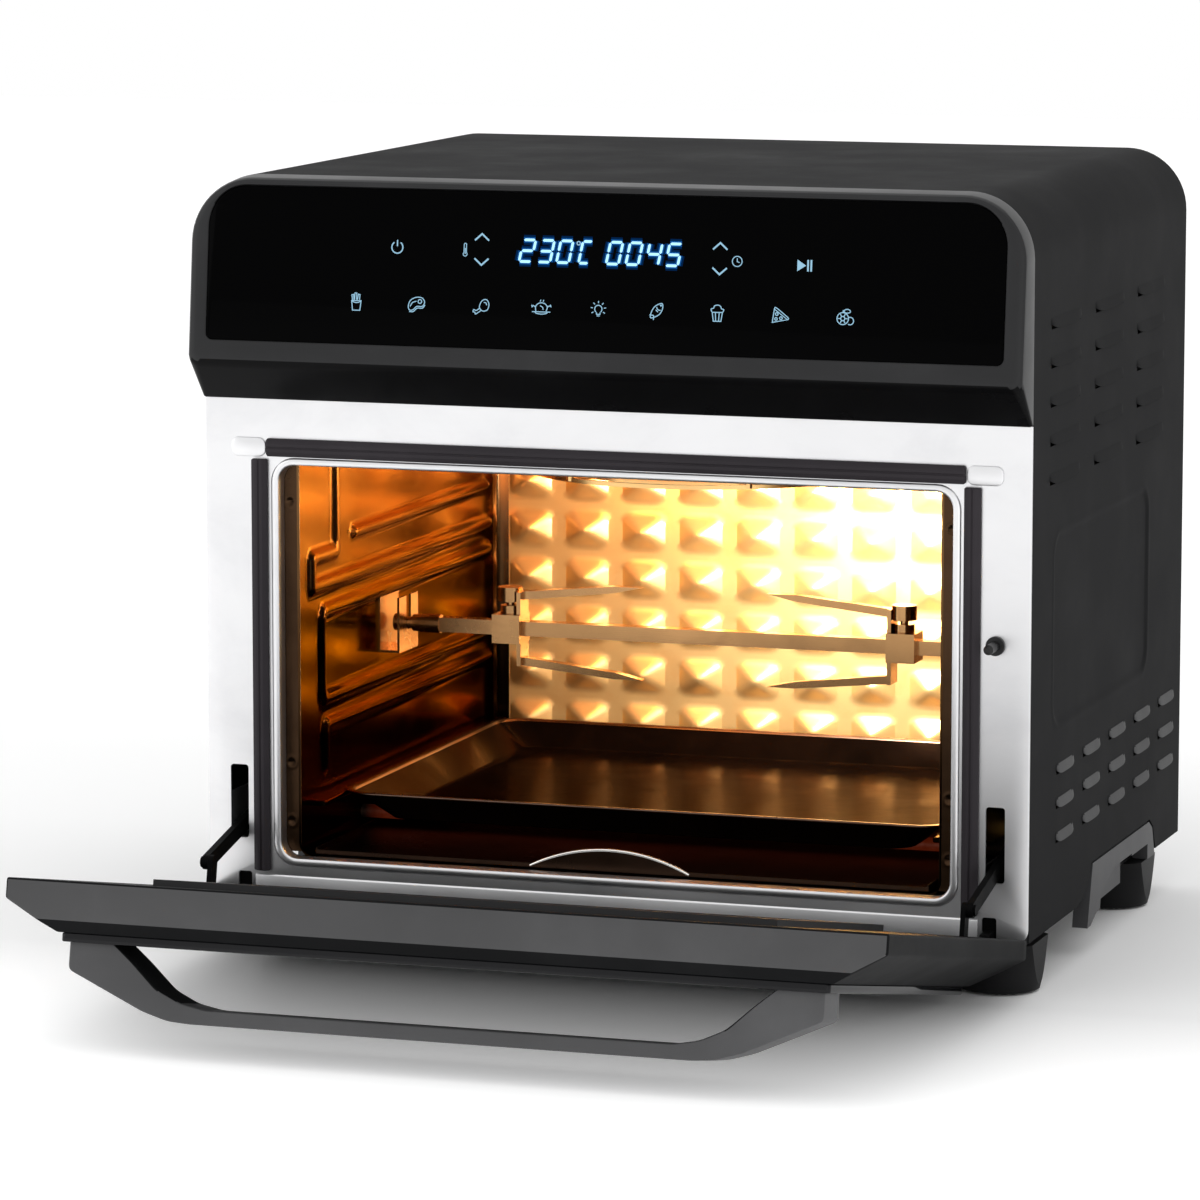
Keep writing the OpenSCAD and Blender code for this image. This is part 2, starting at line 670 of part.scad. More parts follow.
module door_frame() color(COAT) on_door() difference() {
    intersection() {
        translate([0, 3, -door_foot]) linear_extrude(door_l + door_foot) door_section();
        translate([-door_hw - 1, 3, 0]) rotate([90, 0, 90]) linear_extrude(body_w + 2)
            polygon([[0, -door_foot], [0, door_l], [-door_t + 5, door_l], [-door_t, door_l - 3.5],
                [-door_t, 4], [-door_t + 8, -door_foot]]);
    }
    door_box(-138, 138, 40, 198, -1, door_t + 1);
    door_box(-143, 143, 34, 204, -1, 3);
    difference() {
        translate([0, 3, 12]) linear_extrude(door_l - 20) polygon([[-door_hw + 3, -door_skin],
            [-door_hw + 3, -door_side_t + 1], [-172, -door_t - 1], [172, -door_t - 1],
            [door_hw - 3, -door_side_t + 1], [door_hw - 3, -door_skin]]);
        door_box(-146, 146, 31, 207, -1, door_t + 2);
        for (x = [-160, 160]) rod_y(-door_t - 1, 4, x, handle_s + 6, 7);
    }
    for (s = [-1, 1]) {
        door_box(s * bracket_x - notch_hw, s * bracket_x + notch_hw, -door_foot - 1, 7.5, -1, 11);
        rod_x(s * bracket_x - 14, s * bracket_x + 14, 0, 0, hinge_r + 0.01);
    }
    for (x = [-160, 160]) rod_y(-door_t + 1, 4, x, handle_s + 6, 2);
    for (x = [-160, 160]) rod_y(-8, 4, x, handle_s + 6, 4);
}

handle_s = 201;
handle_depth = 24;

module door_outer_glass() color(DARK) on_door() difference() {
    door_box(-plate_hw, plate_hw, 8, door_l - 5, door_t, door_t + plate_t);
    for (x = [-160, 160]) rod_y(-door_t - 5, 4, x, handle_s + 6, 2);
}

module door_inner_panel() color(DARK) on_door() difference() {
    door_box(-142.8, 142.8, 34.2, 203.8, -3, 3);
    door_box(-122, 122, 54, 184, -5, 5);
    door_box(-140, 140, 37, 201, -0.6, 5);
}

module door_inner_glass() color("#5a5d60") on_door()
    door_box(-130, 130, 46, 192, -0.4, 3);

// Angular loop handle: outline across the door's width, extruded along the door
module handle_outline() {
    out_t = handle_reach;
    in_t = handle_reach - 6.6;
    base_t = door_t + plate_t;
    difference() {
        polygon([[-171.5, -base_t], [-171.5, -38.5], [-136, -out_t + 4.2], [-124, -out_t + 0.6],
            [-116, -out_t], [116, -out_t], [124, -out_t + 0.6], [136, -out_t + 4.2],
            [171.5, -38.5], [171.5, -base_t]]);
        polygon([[-150, 1 - base_t], [-150, -base_t], [-129, -in_t + 8], [-118, -in_t + 2.4],
            [-106, -in_t], [106, -in_t], [118, -in_t + 2.4], [129, -in_t + 8],
            [150, -base_t], [150, 1 - base_t]]);
    }
}

module door_handle() color(PLASTIC) on_door() difference() {
    translate([0, 3, handle_s]) linear_extrude(handle_depth) handle_outline();
    for (x = [-160, 160]) rod_y(3 - door_t - plate_t - 8, 4, x, handle_s + 6, 1.6);
}

module handle_screws() color(ZINC) on_door() for (x = [-160, 160]) {
    rod_y(3 - door_t - plate_t - 7.8, -8, x, handle_s + 6, 1.55);
    rod_y(-8, -5, x, handle_s + 6, 3.4);
}

module hinge_pins() color(ZINC) on_door()
    for (s = [-1, 1]) rod_x(s * bracket_x - 13, s * bracket_x + 13, 0, 0, hinge_r);

module stay_lugs() color(DARK) on_door() for (s = [-1, 1]) translate([s * slot_x, 0, 0])
    mirror([s < 0 ? 1 : 0, 0, 0]) {
        rod_x(-3.8, -1.6, 3 - stay_t, stay_s, stay_h / 2);
        slab_xz(-3.8, -1.6, 3, 3 - stay_t, stay_s - stay_h / 2, stay_s + stay_h / 2);
        rod_x(-3.8, stay_thick / 2 + 1.1, 3 - stay_t, stay_s, stay_pin_r);
        rod_x(stay_thick / 2 + 0.1, stay_thick / 2 + 1.1, 3 - stay_t, stay_s, 2.6);
    }

stay_y = hinge_y + (3 - stay_t) * cos(door_angle) - stay_s * sin(door_angle);
stay_z = hinge_z + (3 - stay_t) * sin(door_angle) + stay_s * cos(door_angle);

module stay(s) {
    half = stay_thick / 2;
    translate([s * slot_x, stay_y, stay_z]) rotate([stay_rise, 0, 0])
        difference() {
            union() {
                rod_x(-half, half, 0, 0, stay_h / 2);
                rod_x(-half, half, stay_len, 0, stay_h / 2);
                slab_xz(-half, half, 0, stay_len, -stay_h / 2, stay_h / 2);
            }
            rod_x(-half - 1, half + 1, 0, 0, stay_pin_r + running);
            rod_x(-half - 1, half + 1, stay_len, 0, 1.5);
        }
}

module stay_left() color(DARK) stay(-1);
module stay_right() color(DARK) stay(1);

// ---------------------------------------------------------------- spit and trays

module spit_rod() color("#cfcfcd") {
    slab_xz(-128, spit_x1, spit_y - spit_side / 2, spit_y + spit_side / 2,
        spit_z - spit_side / 2, spit_z + spit_side / 2);
    rod_x(-138, -128, spit_y, spit_z, 4.6);
    rod_x(-142, -138, spit_y, spit_z, 4.2);
    rod_x(spit_x0, -142, spit_y, spit_z, 3);
    rod_x(spit_x0 - 1.6, spit_x0, spit_y, spit_z, 4.2);
}

module drive_socket() color(ZINC) difference() {
    rod_x(cav_hw - 12, cav_hw + 3, spit_y, spit_z, socket_r);
    slab_xz(cav_hw - 14, cav_hw - 2.8, spit_y - spit_side / 2, spit_y + spit_side / 2,
        spit_z - spit_side / 2, spit_z + spit_side / 2);
}

// Fork drawn at the origin with its prongs pointing to +X
module fork() {
    difference() {
        union() {
            slab_xz(-7, 7, -8, 8, -7, 7);
            slab_xz(5, 7, -6, 6, -fork_arm - 2, fork_arm + 2);
            translate([0, 0, 7]) cylinder(h = 4, r = 5);
        }
        slab_xz(-20, 20, -spit_side / 2 - 0.04, spit_side / 2 + 0.04, -spit_side / 2 - 0.04,
            spit_side / 2 + 0.04);
        translate([0, 0, 3]) cylinder(h = 12, r = 2.05);
    }
    for (s = [-1, 1]) translate([6, 0, s * fork_arm]) rotate([0, -s * prong_flare, 0])
        rotate([90, 0, 0]) translate([0, 0, -2.5]) linear_extrude(5)
            polygon([[0, -2], [prong_l - 14, -1.6], [prong_l, 0], [prong_l - 14, 1.6], [0, 2]]);
    // thumb screw
    translate([0, 0, spit_side / 2 + 0.04]) cylinder(h = 14, r = 2);
    translate([0, 0, 13]) cylinder(h = 7, r = 6);
}

module fork_left() color("#cfcfcd") translate([-fork_x, spit_y, spit_z]) fork();
module fork_right() color("#cfcfcd") translate([fork_x + 14, spit_y, spit_z]) mirror([1, 0, 0]) fork();

module tray_form(hw0, y0, y1, z0, h, flare, r) {
    hull() {
        for (x = [-1, 1], y = [0, 1]) translate([x * (hw0 - flare - r),
            y == 0 ? y0 + flare * 0.5 + r : y1 - flare * 0.5 - r, z0]) cylinder(h = 0.2, r = r, $fn = 32);
        for (x = [-1, 1], y = [0, 1]) translate([x * (hw0 - 4 - r),
            y == 0 ? y0 + 4 + r : y1 - 4 - r, z0 + h - 0.2]) cylinder(h = 0.2, r = r, $fn = 32);
    }
}

module baking_tray() color("#3a2a22") difference() {
    union() {
        tray_form(tray_hw, tray_y0, tray_y1, tray_z0, tray_h, tray_slope, 14);
        translate([-tray_hw, tray_y0, tray_z0 + tray_h - 1.2]) linear_extrude(1.2)
            round_rect(2 * tray_hw, tray_y1 - tray_y0, 16);
    }
    translate([0, 0, 1]) tray_form(tray_hw - 1, tray_y0 + 1, tray_y1 - 1, tray_z0, tray_h + 0.2,
        tray_slope, 13);
}

module crumb_tray() color("#4a3a30") {
    slab_xz(-crumb_hw, crumb_hw, cav_y0 + 4, cav_y1 - 8, crumb_z, crumb_z + 0.8);
    for (s = [-1, 1]) slab_xz(s * (crumb_hw - 0.4) - 0.4, s * (crumb_hw - 0.4) + 0.4,
        cav_y0 + 4, cav_y1 - 8, crumb_z, crumb_z + 3);
    slab_xz(-crumb_hw, crumb_hw, cav_y1 - 8.8, cav_y1 - 8, crumb_z, crumb_z + 3);
    slab_xz(-crumb_hw, crumb_hw, cav_y0 + 4, cav_y0 + 4.8, crumb_z, crumb_z + 2);
    // finger pull, an arc standing on the front lip
    translate([-4, cav_y0 + 4.8, 0]) rotate([90, 0, 0]) linear_extrude(0.8) intersection() {
        translate([0, crumb_z + 10 - 85]) circle(85, $fn = 96);
        translate([-60, crumb_z]) square([120, 12]);
    }
}

housing();
rear_cover();
base_plate();
front_fascia();
control_bezel();
control_glass();
display_board();
power_board();
heat_shield();
cavity_side_left();
cavity_side_right();
cavity_back();
cavity_top();
cavity_floor();
seal_top();
seal_left();
seal_right();
foot_front_left();
foot_front_right();
foot_rear_left();
foot_rear_right();
foot_pads();
side_grip_left();
side_grip_right();
hinge_bracket_left();
hinge_bracket_right();
stay_guide_left();
stay_guide_right();
door_switch();
switch_plunger();
cord_gland();
rotisserie_motor();
spit_bracket();
upper_element();
element_guard();
lower_elements();
fan_motor();
convection_fan();
lamp_holder();
lamp_bulb();
lamp_lens();
temperature_probe();
thermal_cutout();
housing_screws();
door_frame();
door_outer_glass();
door_inner_panel();
door_inner_glass();
door_handle();
handle_screws();
hinge_pins();
stay_lugs();
stay_left();
stay_right();
spit_rod();
drive_socket();
fork_left();
fork_right();
baking_tray();
crumb_tray();
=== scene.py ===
import json
import math

import bmesh
import bpy
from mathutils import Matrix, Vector


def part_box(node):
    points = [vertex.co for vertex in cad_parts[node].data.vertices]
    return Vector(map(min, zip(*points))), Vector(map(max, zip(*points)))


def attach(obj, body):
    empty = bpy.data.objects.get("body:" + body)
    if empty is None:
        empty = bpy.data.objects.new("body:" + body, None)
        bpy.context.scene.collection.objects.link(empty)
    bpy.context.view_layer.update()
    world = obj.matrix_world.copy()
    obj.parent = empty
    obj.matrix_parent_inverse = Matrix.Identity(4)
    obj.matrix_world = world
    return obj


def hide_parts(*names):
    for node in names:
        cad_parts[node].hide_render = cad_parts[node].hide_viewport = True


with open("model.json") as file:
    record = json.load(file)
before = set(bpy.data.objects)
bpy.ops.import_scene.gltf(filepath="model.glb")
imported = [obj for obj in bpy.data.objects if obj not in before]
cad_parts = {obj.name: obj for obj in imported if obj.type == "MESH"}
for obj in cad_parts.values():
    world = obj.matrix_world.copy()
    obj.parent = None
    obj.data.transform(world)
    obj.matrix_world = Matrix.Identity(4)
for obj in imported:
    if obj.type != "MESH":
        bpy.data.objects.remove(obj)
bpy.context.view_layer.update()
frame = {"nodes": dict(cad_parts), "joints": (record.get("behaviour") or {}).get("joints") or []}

MM = 0.001
TINY = 1e-6
SHARP = 32                                # degrees; sharper edges are shaded as edges
NODES = frame["nodes"]
JOINTS = {j["name"]: j for j in frame["joints"]}


def box(node):
    """Corners of a CAD node at rest, in millimetres."""
    low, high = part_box(node)
    return low / MM, high / MM


# ------------------------------------------------------------------ sizes taken from the frame

SHELL_LOW, SHELL_HIGH = box("housing")
BEZEL_LOW = box("control_bezel")[0]
FASCIA_LOW, FASCIA_HIGH = box("front_fascia")
BACK_HIGH = box("cavity_back")[1]
ROOF_LOW = box("cavity_top")[0]
FLOOR_HIGH = box("cavity_floor")[1]
TRAY_LOW, TRAY_HIGH = box("baking_tray")

HALF_W = 200.0                       # the louvre hoods stand out past the flat sides
FRONT_Y = SHELL_LOW[1]
REAR_Y = SHELL_HIGH[1]
BASE_Z = SHELL_LOW[2]
TOP_Z = SHELL_HIGH[2]
CORNER_R = 30.0
HEAD_Z = BEZEL_LOW[2]
NOSE_Y = BEZEL_LOW[1]
NOSE_Z = HEAD_Z + 20
HEAD_TOP_Y = FRONT_Y - 13.4
TILT = math.atan((HEAD_TOP_Y - NOSE_Y) / (TOP_Z - NOSE_Z))
FACE_H = (TOP_Z - NOSE_Z) / math.cos(TILT)
CAV_X = 156.0
CAV_Y0 = FRONT_Y + 7
CAV_Y1 = BACK_HIGH[1] - 1
CAV_Z0 = FLOOR_HIGH[2]
CAV_Z1 = ROOF_LOW[2]
HINGE = Vector(JOINTS["door_hinge"]["pos_m"]) / MM
DOOR_ANGLE = math.radians(JOINTS["door_hinge"]["range_deg"][1])
SPIT = Vector(JOINTS["spit_turn"]["pos_m"]) / MM
FAN = Vector(JOINTS["fan_spin"]["pos_m"]) / MM


def on_face(x, depth, up):
    """A point on the tilted control panel: depth into it, up from its lower edge."""
    c, s = math.cos(TILT), math.sin(TILT)
    return (x, NOSE_Y + depth * c + up * s, NOSE_Z - depth * s + up * c)


def on_door(x, s, t):
    """A point on the open door: s up the door from the hinge, t outwards from its inner face."""
    c, n = math.cos(DOOR_ANGLE), math.sin(DOOR_ANGLE)
    y = 3 - t
    return (x, HINGE[1] + y * c - s * n, HINGE[2] + y * n + s * c)


# ------------------------------------------------------------------ mesh helpers

def make(name, verts, faces, smooth=SHARP):
    mesh = bpy.data.meshes.new(name)
    mesh.from_pydata([(x * MM, y * MM, z * MM) for x, y, z in verts], [], faces)
    mesh.validate()
    mesh.update()
    ob = bpy.data.objects.new(name, mesh)
    bpy.context.scene.collection.objects.link(ob)
    if smooth:
        shade(mesh, smooth)
    return ob


def shade(mesh, angle):
    mesh.polygons.foreach_set("use_smooth", [True] * len(mesh.polygons))
    mesh.set_sharp_from_angle(angle=math.radians(angle))


def recalc(ob):
    """Turns all normals outwards."""
    bm = bmesh.new()
    bm.from_mesh(ob.data)
    bmesh.ops.recalc_face_normals(bm, faces=bm.faces)
    bm.to_mesh(ob.data)
    bm.free()


def settle(ob, smooth=SHARP):
    """Applies the modifiers of ob and shades the result."""
    dg = bpy.context.evaluated_depsgraph_get()
    mesh = bpy.data.meshes.new_from_object(ob.evaluated_get(dg))
    ob.modifiers.clear()
    ob.data = mesh
    mesh.name = ob.name
    shade(mesh, smooth)
    return ob


def cut(ob, cutters, smooth=SHARP):
    """Subtracts the cutters, which are used up."""
    for c in cutters:
        m = ob.modifiers.new("cut", "BOOLEAN")
        m.object, m.operation, m.solver = c, "DIFFERENCE", "EXACT"
    bpy.context.view_layer.update()
    settle(ob, smooth)
    for c in cutters:
        bpy.data.objects.remove(c)
    return ob


def join(name, parts, smooth=SHARP):
    """One object from several, which are used up."""
    verts, faces = [], []
    for p in parts:
        base = len(verts)
        verts += [tuple(v.co / MM) for v in p.data.vertices]
        faces += [tuple(base + i for i in f.vertices) for f in p.data.polygons]
        bpy.data.objects.remove(p)
    return make(name, verts, faces, smooth)


def thicken(ob, mm, smooth=SHARP):
    m = ob.modifiers.new("thick", "SOLIDIFY")
    m.thickness, m.offset = mm * MM, -1
    bpy.context.view_layer.update()
    return settle(ob, smooth)


def loft(name, loops, closed=False, smooth=SHARP):
    """Skin over loops with the same number of points; closed joins the last loop to the first."""
    n = len(loops[0])
    verts = [p for loop in loops for p in loop]
    faces = []
    last = len(loops) if closed else len(loops) - 1
    for a in range(last):
        b = (a + 1) % len(loops)
        for i in range(n):
            j = (i + 1) % n
            faces.append((a * n + i, a * n + j, b * n + j, b * n + i))
    if not closed:
        faces.append(tuple(range(n - 1, -1, -1)))
        faces.append(tuple((len(loops) - 1) * n + i for i in range(n)))
    ob = make(name, verts, faces, 0)
    recalc(ob)
    shade(ob.data, smooth)
    return ob


def rounded(x0, x1, y0, y1, radii, steps=8):
    """Rounded rectangle, anticlockwise from its lower right corner; radii is one number, or four for
    the lower right, upper right, upper left and lower left corner."""
    if not isinstance(radii, tuple):
        radii = (radii,) * 4
    corners = [(x1, y0, -1, 1, -90), (x1, y1, -1, -1, 0), (x0, y1, 1, -1, 90), (x0, y0, 1, 1, 180)]
    out = []
    for (x, y, sx, sy, start), r in zip(corners, radii):
        for k in range(steps + 1):
            a = math.radians(start + 90 * k / steps)
            out.append((x + sx * r + r * math.cos(a), y + sy * r + r * math.sin(a)))
    return out


def bend(start, corner, end, steps):
    """Points of a curve from start to end, pulled towards the corner."""
    return [tuple(start * (1 - t) ** 2 + corner * 2 * t * (1 - t) + end * t ** 2)
            for t in (k / steps for k in range(steps + 1))]


def fillet(points, radius, steps=4):
    """Rounds the corners of a closed polygon; radius is one number or one for each corner."""
    out = []
    n = len(points)
    flat = math.radians(89)
    for i, p in enumerate(points):
        r = radius[i] if isinstance(radius, (list, tuple)) else radius
        p, a, b = Vector(p), Vector(points[i - 1]), Vector(points[(i + 1) % n])
        u, v = (a - p).normalized(), (b - p).normalized()
        half = min(flat, math.acos(max(-1, min(1, u.dot(v)))) / 2)
        reach = min(max(r, 0.05) / math.tan(half), (a - p).length * 0.49, (b - p).length * 0.49)
        out += bend(p + u * reach, p, p + v * reach, steps)
    return out


def left_of(v):
    """Unit vector to the left of a direction in the plane."""
    return Vector((-v[1], v[0])).normalized()


def inset(points, d):
    """Moves each side of a closed anticlockwise polygon inwards by d."""
    out = []
    n = len(points)
    for i in range(n):
        p = Vector(points[i])
        a = next(v for v in (p - Vector(points[i - k]) for k in range(1, n)) if v.length > TINY)
        b = next(v for v in (Vector(points[(i + k) % n]) - p for k in range(1, n)) if v.length > TINY)
        na, nb = left_of(a), left_of(b)
        m = na + nb
        m = m.normalized() if m.length > TINY else na
        out.append(tuple(p + m * d / max(0.35, m.dot(na))))
    return out


def prism(name, outline, place, low, high, round_mm=0.6, smooth=SHARP):
    """Closed outline run from low to high with rounded ends; place(a, b, h) gives the point."""
    r = round_mm
    rows = [(low, r), (low + 0.3 * r, 0.3 * r), (low + r, 0), (high - r, 0),
            (high - 0.3 * r, 0.3 * r), (high, r)]
    loops = [[place(a, b, h) for a, b in (inset(outline, d) if d else outline)] for h, d in rows]
    return loft(name, loops, smooth=smooth)


def spaced(*stops):
    """Sorted positions: stops are (start, end, step)."""
    out = set()
    for a, b, step in stops:
        n = max(1, round((b - a) / step))
        out |= {round(a + (b - a) * k / n, 3) for k in range(n + 1)}
    merged = []
    for x in sorted(out):
        if not merged or x - merged[-1] > 0.05:
            merged.append(x)
    return merged


def field(name, us, vs, place, height, skip=None, flip=False, smooth=40):
    """Sheet over a grid of us by vs, lifted by height(u, v); skip(u, v) leaves out a face."""
    verts = [place(u, v, height(u, v)) for v in vs for u in us]
    nu = len(us)
    faces = []
    for j in range(len(vs) - 1):
        for i in range(nu - 1):
            if skip and skip((us[i] + us[i + 1]) / 2, (vs[j] + vs[j + 1]) / 2):
                continue
            f = (j * nu + i, j * nu + i + 1, (j + 1) * nu + i + 1, (j + 1) * nu + i)
            faces.append(f[::-1] if flip else f)
    used = sorted({i for f in faces for i in f})
    back = {i: k for k, i in enumerate(used)}
    return make(name, [verts[i] for i in used], [tuple(back[i] for i in f) for f in faces], smooth)


def tube(name, points, r, sides=10):
    """Round bar along points."""
    pts = [Vector(p) for p in points]
    loops = []
    for i, p in enumerate(pts):
        d = (pts[min(i + 1, len(pts) - 1)] - pts[max(i - 1, 0)]).normalized()
        u = d.cross(Vector((0, 0, 1)) if abs(d[2]) < 0.9 else Vector((1, 0, 0))).normalized()
        w = d.cross(u)
        loops.append([tuple(p + (u * math.cos(t) + w * math.sin(t)) * r)
                      for t in (2 * math.pi * k / sides for k in range(sides))])
    return loft(name, loops, smooth=60)


def turned(name, profile, centre, axis="X", sides=32, smooth=SHARP):
    """Solid of revolution; profile holds (distance along the axis, radius)."""
    loops = []
    for h, r in profile:
        loop = []
        for k in range(sides):
            a = 2 * math.pi * k / sides
            u, v = r * math.cos(a), r * math.sin(a)
            off = {"X": (h, u, v), "Y": (v, h, u), "Z": (u, v, h)}[axis]
            loop.append(tuple(c + o for c, o in zip(centre, off)))
        loops.append(loop)
    return loft(name, loops, smooth=smooth)


def smoothstep(a, b, x):
    """0 at a, 1 at b, level at both ends."""
    t = max(0.0, min(1.0, (x - a) / (b - a)))
    return t * t * (3 - 2 * t)


def rect_distance(u, v, u0, u1, v0, v1, r):
    """Signed distance to a rounded rectangle, negative inside."""
    du = abs(u - (u0 + u1) / 2) - (u1 - u0) / 2 + r
    dv = abs(v - (v0 + v1) / 2) - (v1 - v0) / 2 + r
    return math.hypot(max(du, 0), max(dv, 0)) + min(max(du, dv), 0) - r


def line_distance(u, v, a, b):
    """Distance to the line from a to b."""
    ab = (b[0] - a[0], b[1] - a[1])
    ap = (u - a[0], v - a[1])
    t = max(0, min(1, (ap[0] * ab[0] + ap[1] * ab[1]) / (ab[0] ** 2 + ab[1] ** 2)))
    return math.hypot(ap[0] - t * ab[0], ap[1] - t * ab[1])


# ------------------------------------------------------------------ materials

class Finish:
    """A Principled material whose colour, roughness and bump come from noise in object space."""

    def __init__(self, name, colour, rough, metal=0.0, **sockets):
        self.material = bpy.data.materials.new(name)
        self.material.use_nodes = True
        self.tree = self.material.node_tree
        self.shader = self.tree.nodes["Principled BSDF"]
        self.coord = self.tree.nodes.new("ShaderNodeTexCoord").outputs["Object"]
        self.last_bump = None
        for key, value in {"Base Color": (*colour, 1), "Roughness": rough, "Metallic": metal,
                           **sockets}.items():
            self.shader.inputs[key].default_value = value

    def node(self, kind, **values):
        n = self.tree.nodes.new("ShaderNode" + kind)
        for k, v in values.items():
            setattr(n, k, v)
        return n

    def link(self, a, b):
        self.tree.links.new(a, b)

    def noise(self, scale, stretch=(1, 1, 1), detail=4, rough=0.55, warp=0.0):
        m = self.node("Mapping")
        m.inputs["Scale"].default_value = stretch
        self.link(self.coord, m.inputs["Vector"])
        n = self.node("TexNoise")
        n.inputs["Scale"].default_value = scale
        n.inputs["Detail"].default_value = detail
        n.inputs["Roughness"].default_value = rough
        n.inputs["Distortion"].default_value = warp
        self.link(m.outputs["Vector"], n.inputs["Vector"])
        return n.outputs["Fac"]

    def cells(self, scale):
        n = self.node("TexVoronoi")
        n.inputs["Scale"].default_value = scale
        self.link(self.coord, n.inputs["Vector"])
        return n.outputs["Distance"]

    def span(self, value, low, high, start=0.3, end=0.7):
        r = self.node("MapRange")
        for key, v in (("From Min", start), ("From Max", end), ("To Min", low), ("To Max", high)):
            r.inputs[key].default_value = v
        self.link(value, r.inputs["Value"])
        return r.outputs["Result"]

    def roughness(self, value, low, high, start=0.3, end=0.7):
        self.link(self.span(value, low, high, start, end), self.shader.inputs["Roughness"])
        return self

    def colours(self, value, stops, socket="Base Color"):
        r = self.node("ValToRGB")
        ramp = r.color_ramp
        while len(ramp.elements) < len(stops):
            ramp.elements.new(0.5)
        for e, (at, colour) in zip(ramp.elements, stops):
            e.position, e.color = at, (*colour, 1)
        self.link(value, r.inputs["Fac"])
        self.link(r.outputs["Color"], self.shader.inputs[socket])
        return self

    def bump(self, value, mm, strength=1.0):
        b = self.node("Bump")
        b.inputs["Strength"].default_value = strength
        b.inputs["Distance"].default_value = mm * MM
        self.link(value, b.inputs["Height"])
        if self.last_bump:
            self.link(self.last_bump, b.inputs["Normal"])
        self.last_bump = b.outputs["Normal"]
        self.link(self.last_bump, self.shader.inputs["Normal"])
        return self


def coat(name, colour, rough, grain=0.035, scale=2400, gloss=0.5):
    """Fine-grained powder coat or moulded plastic, a little polished and dusty in patches."""
    f = Finish(name, colour, rough, **{"Specular IOR Level": gloss})
    broad = f.noise(14, detail=6, rough=0.6)
    fine = f.noise(scale, detail=2)
    lighter = tuple(c * 1.35 + 0.002 for c in colour)
    darker = tuple(c * 0.85 for c in colour)
    f.colours(broad, [(0.3, darker), (0.55, colour), (0.8, lighter)])
    f.roughness(broad, rough - 0.06, rough + 0.08)
    f.bump(fine, grain)
    f.bump(f.noise(220, detail=3), grain * 0.6, 0.5)
    return f.material


def metal(name, colour, rough, along=(1, 60, 60), spread=0.1, line=0.012, stain=None, metallic=1.0):
    """Brushed or drawn metal: lines along one axis, with cloudy changes of colour and gloss."""
    f = Finish(name, colour, rough, metallic)
    lines = f.noise(30, along, detail=8, rough=0.7)
    cloud = f.noise(9, detail=5, rough=0.6)
    other = stain or tuple(c * 0.86 for c in colour)
    f.colours(f.noise(11, (1, 1.7, 1.3), detail=7, rough=0.65, warp=0.4),
              [(0.25, other), (0.5, colour), (0.85, tuple(min(1, c * 1.05) for c in colour))])
    f.roughness(cloud, max(0.04, rough - spread), rough + spread)
    f.bump(lines, line)
    return f.material


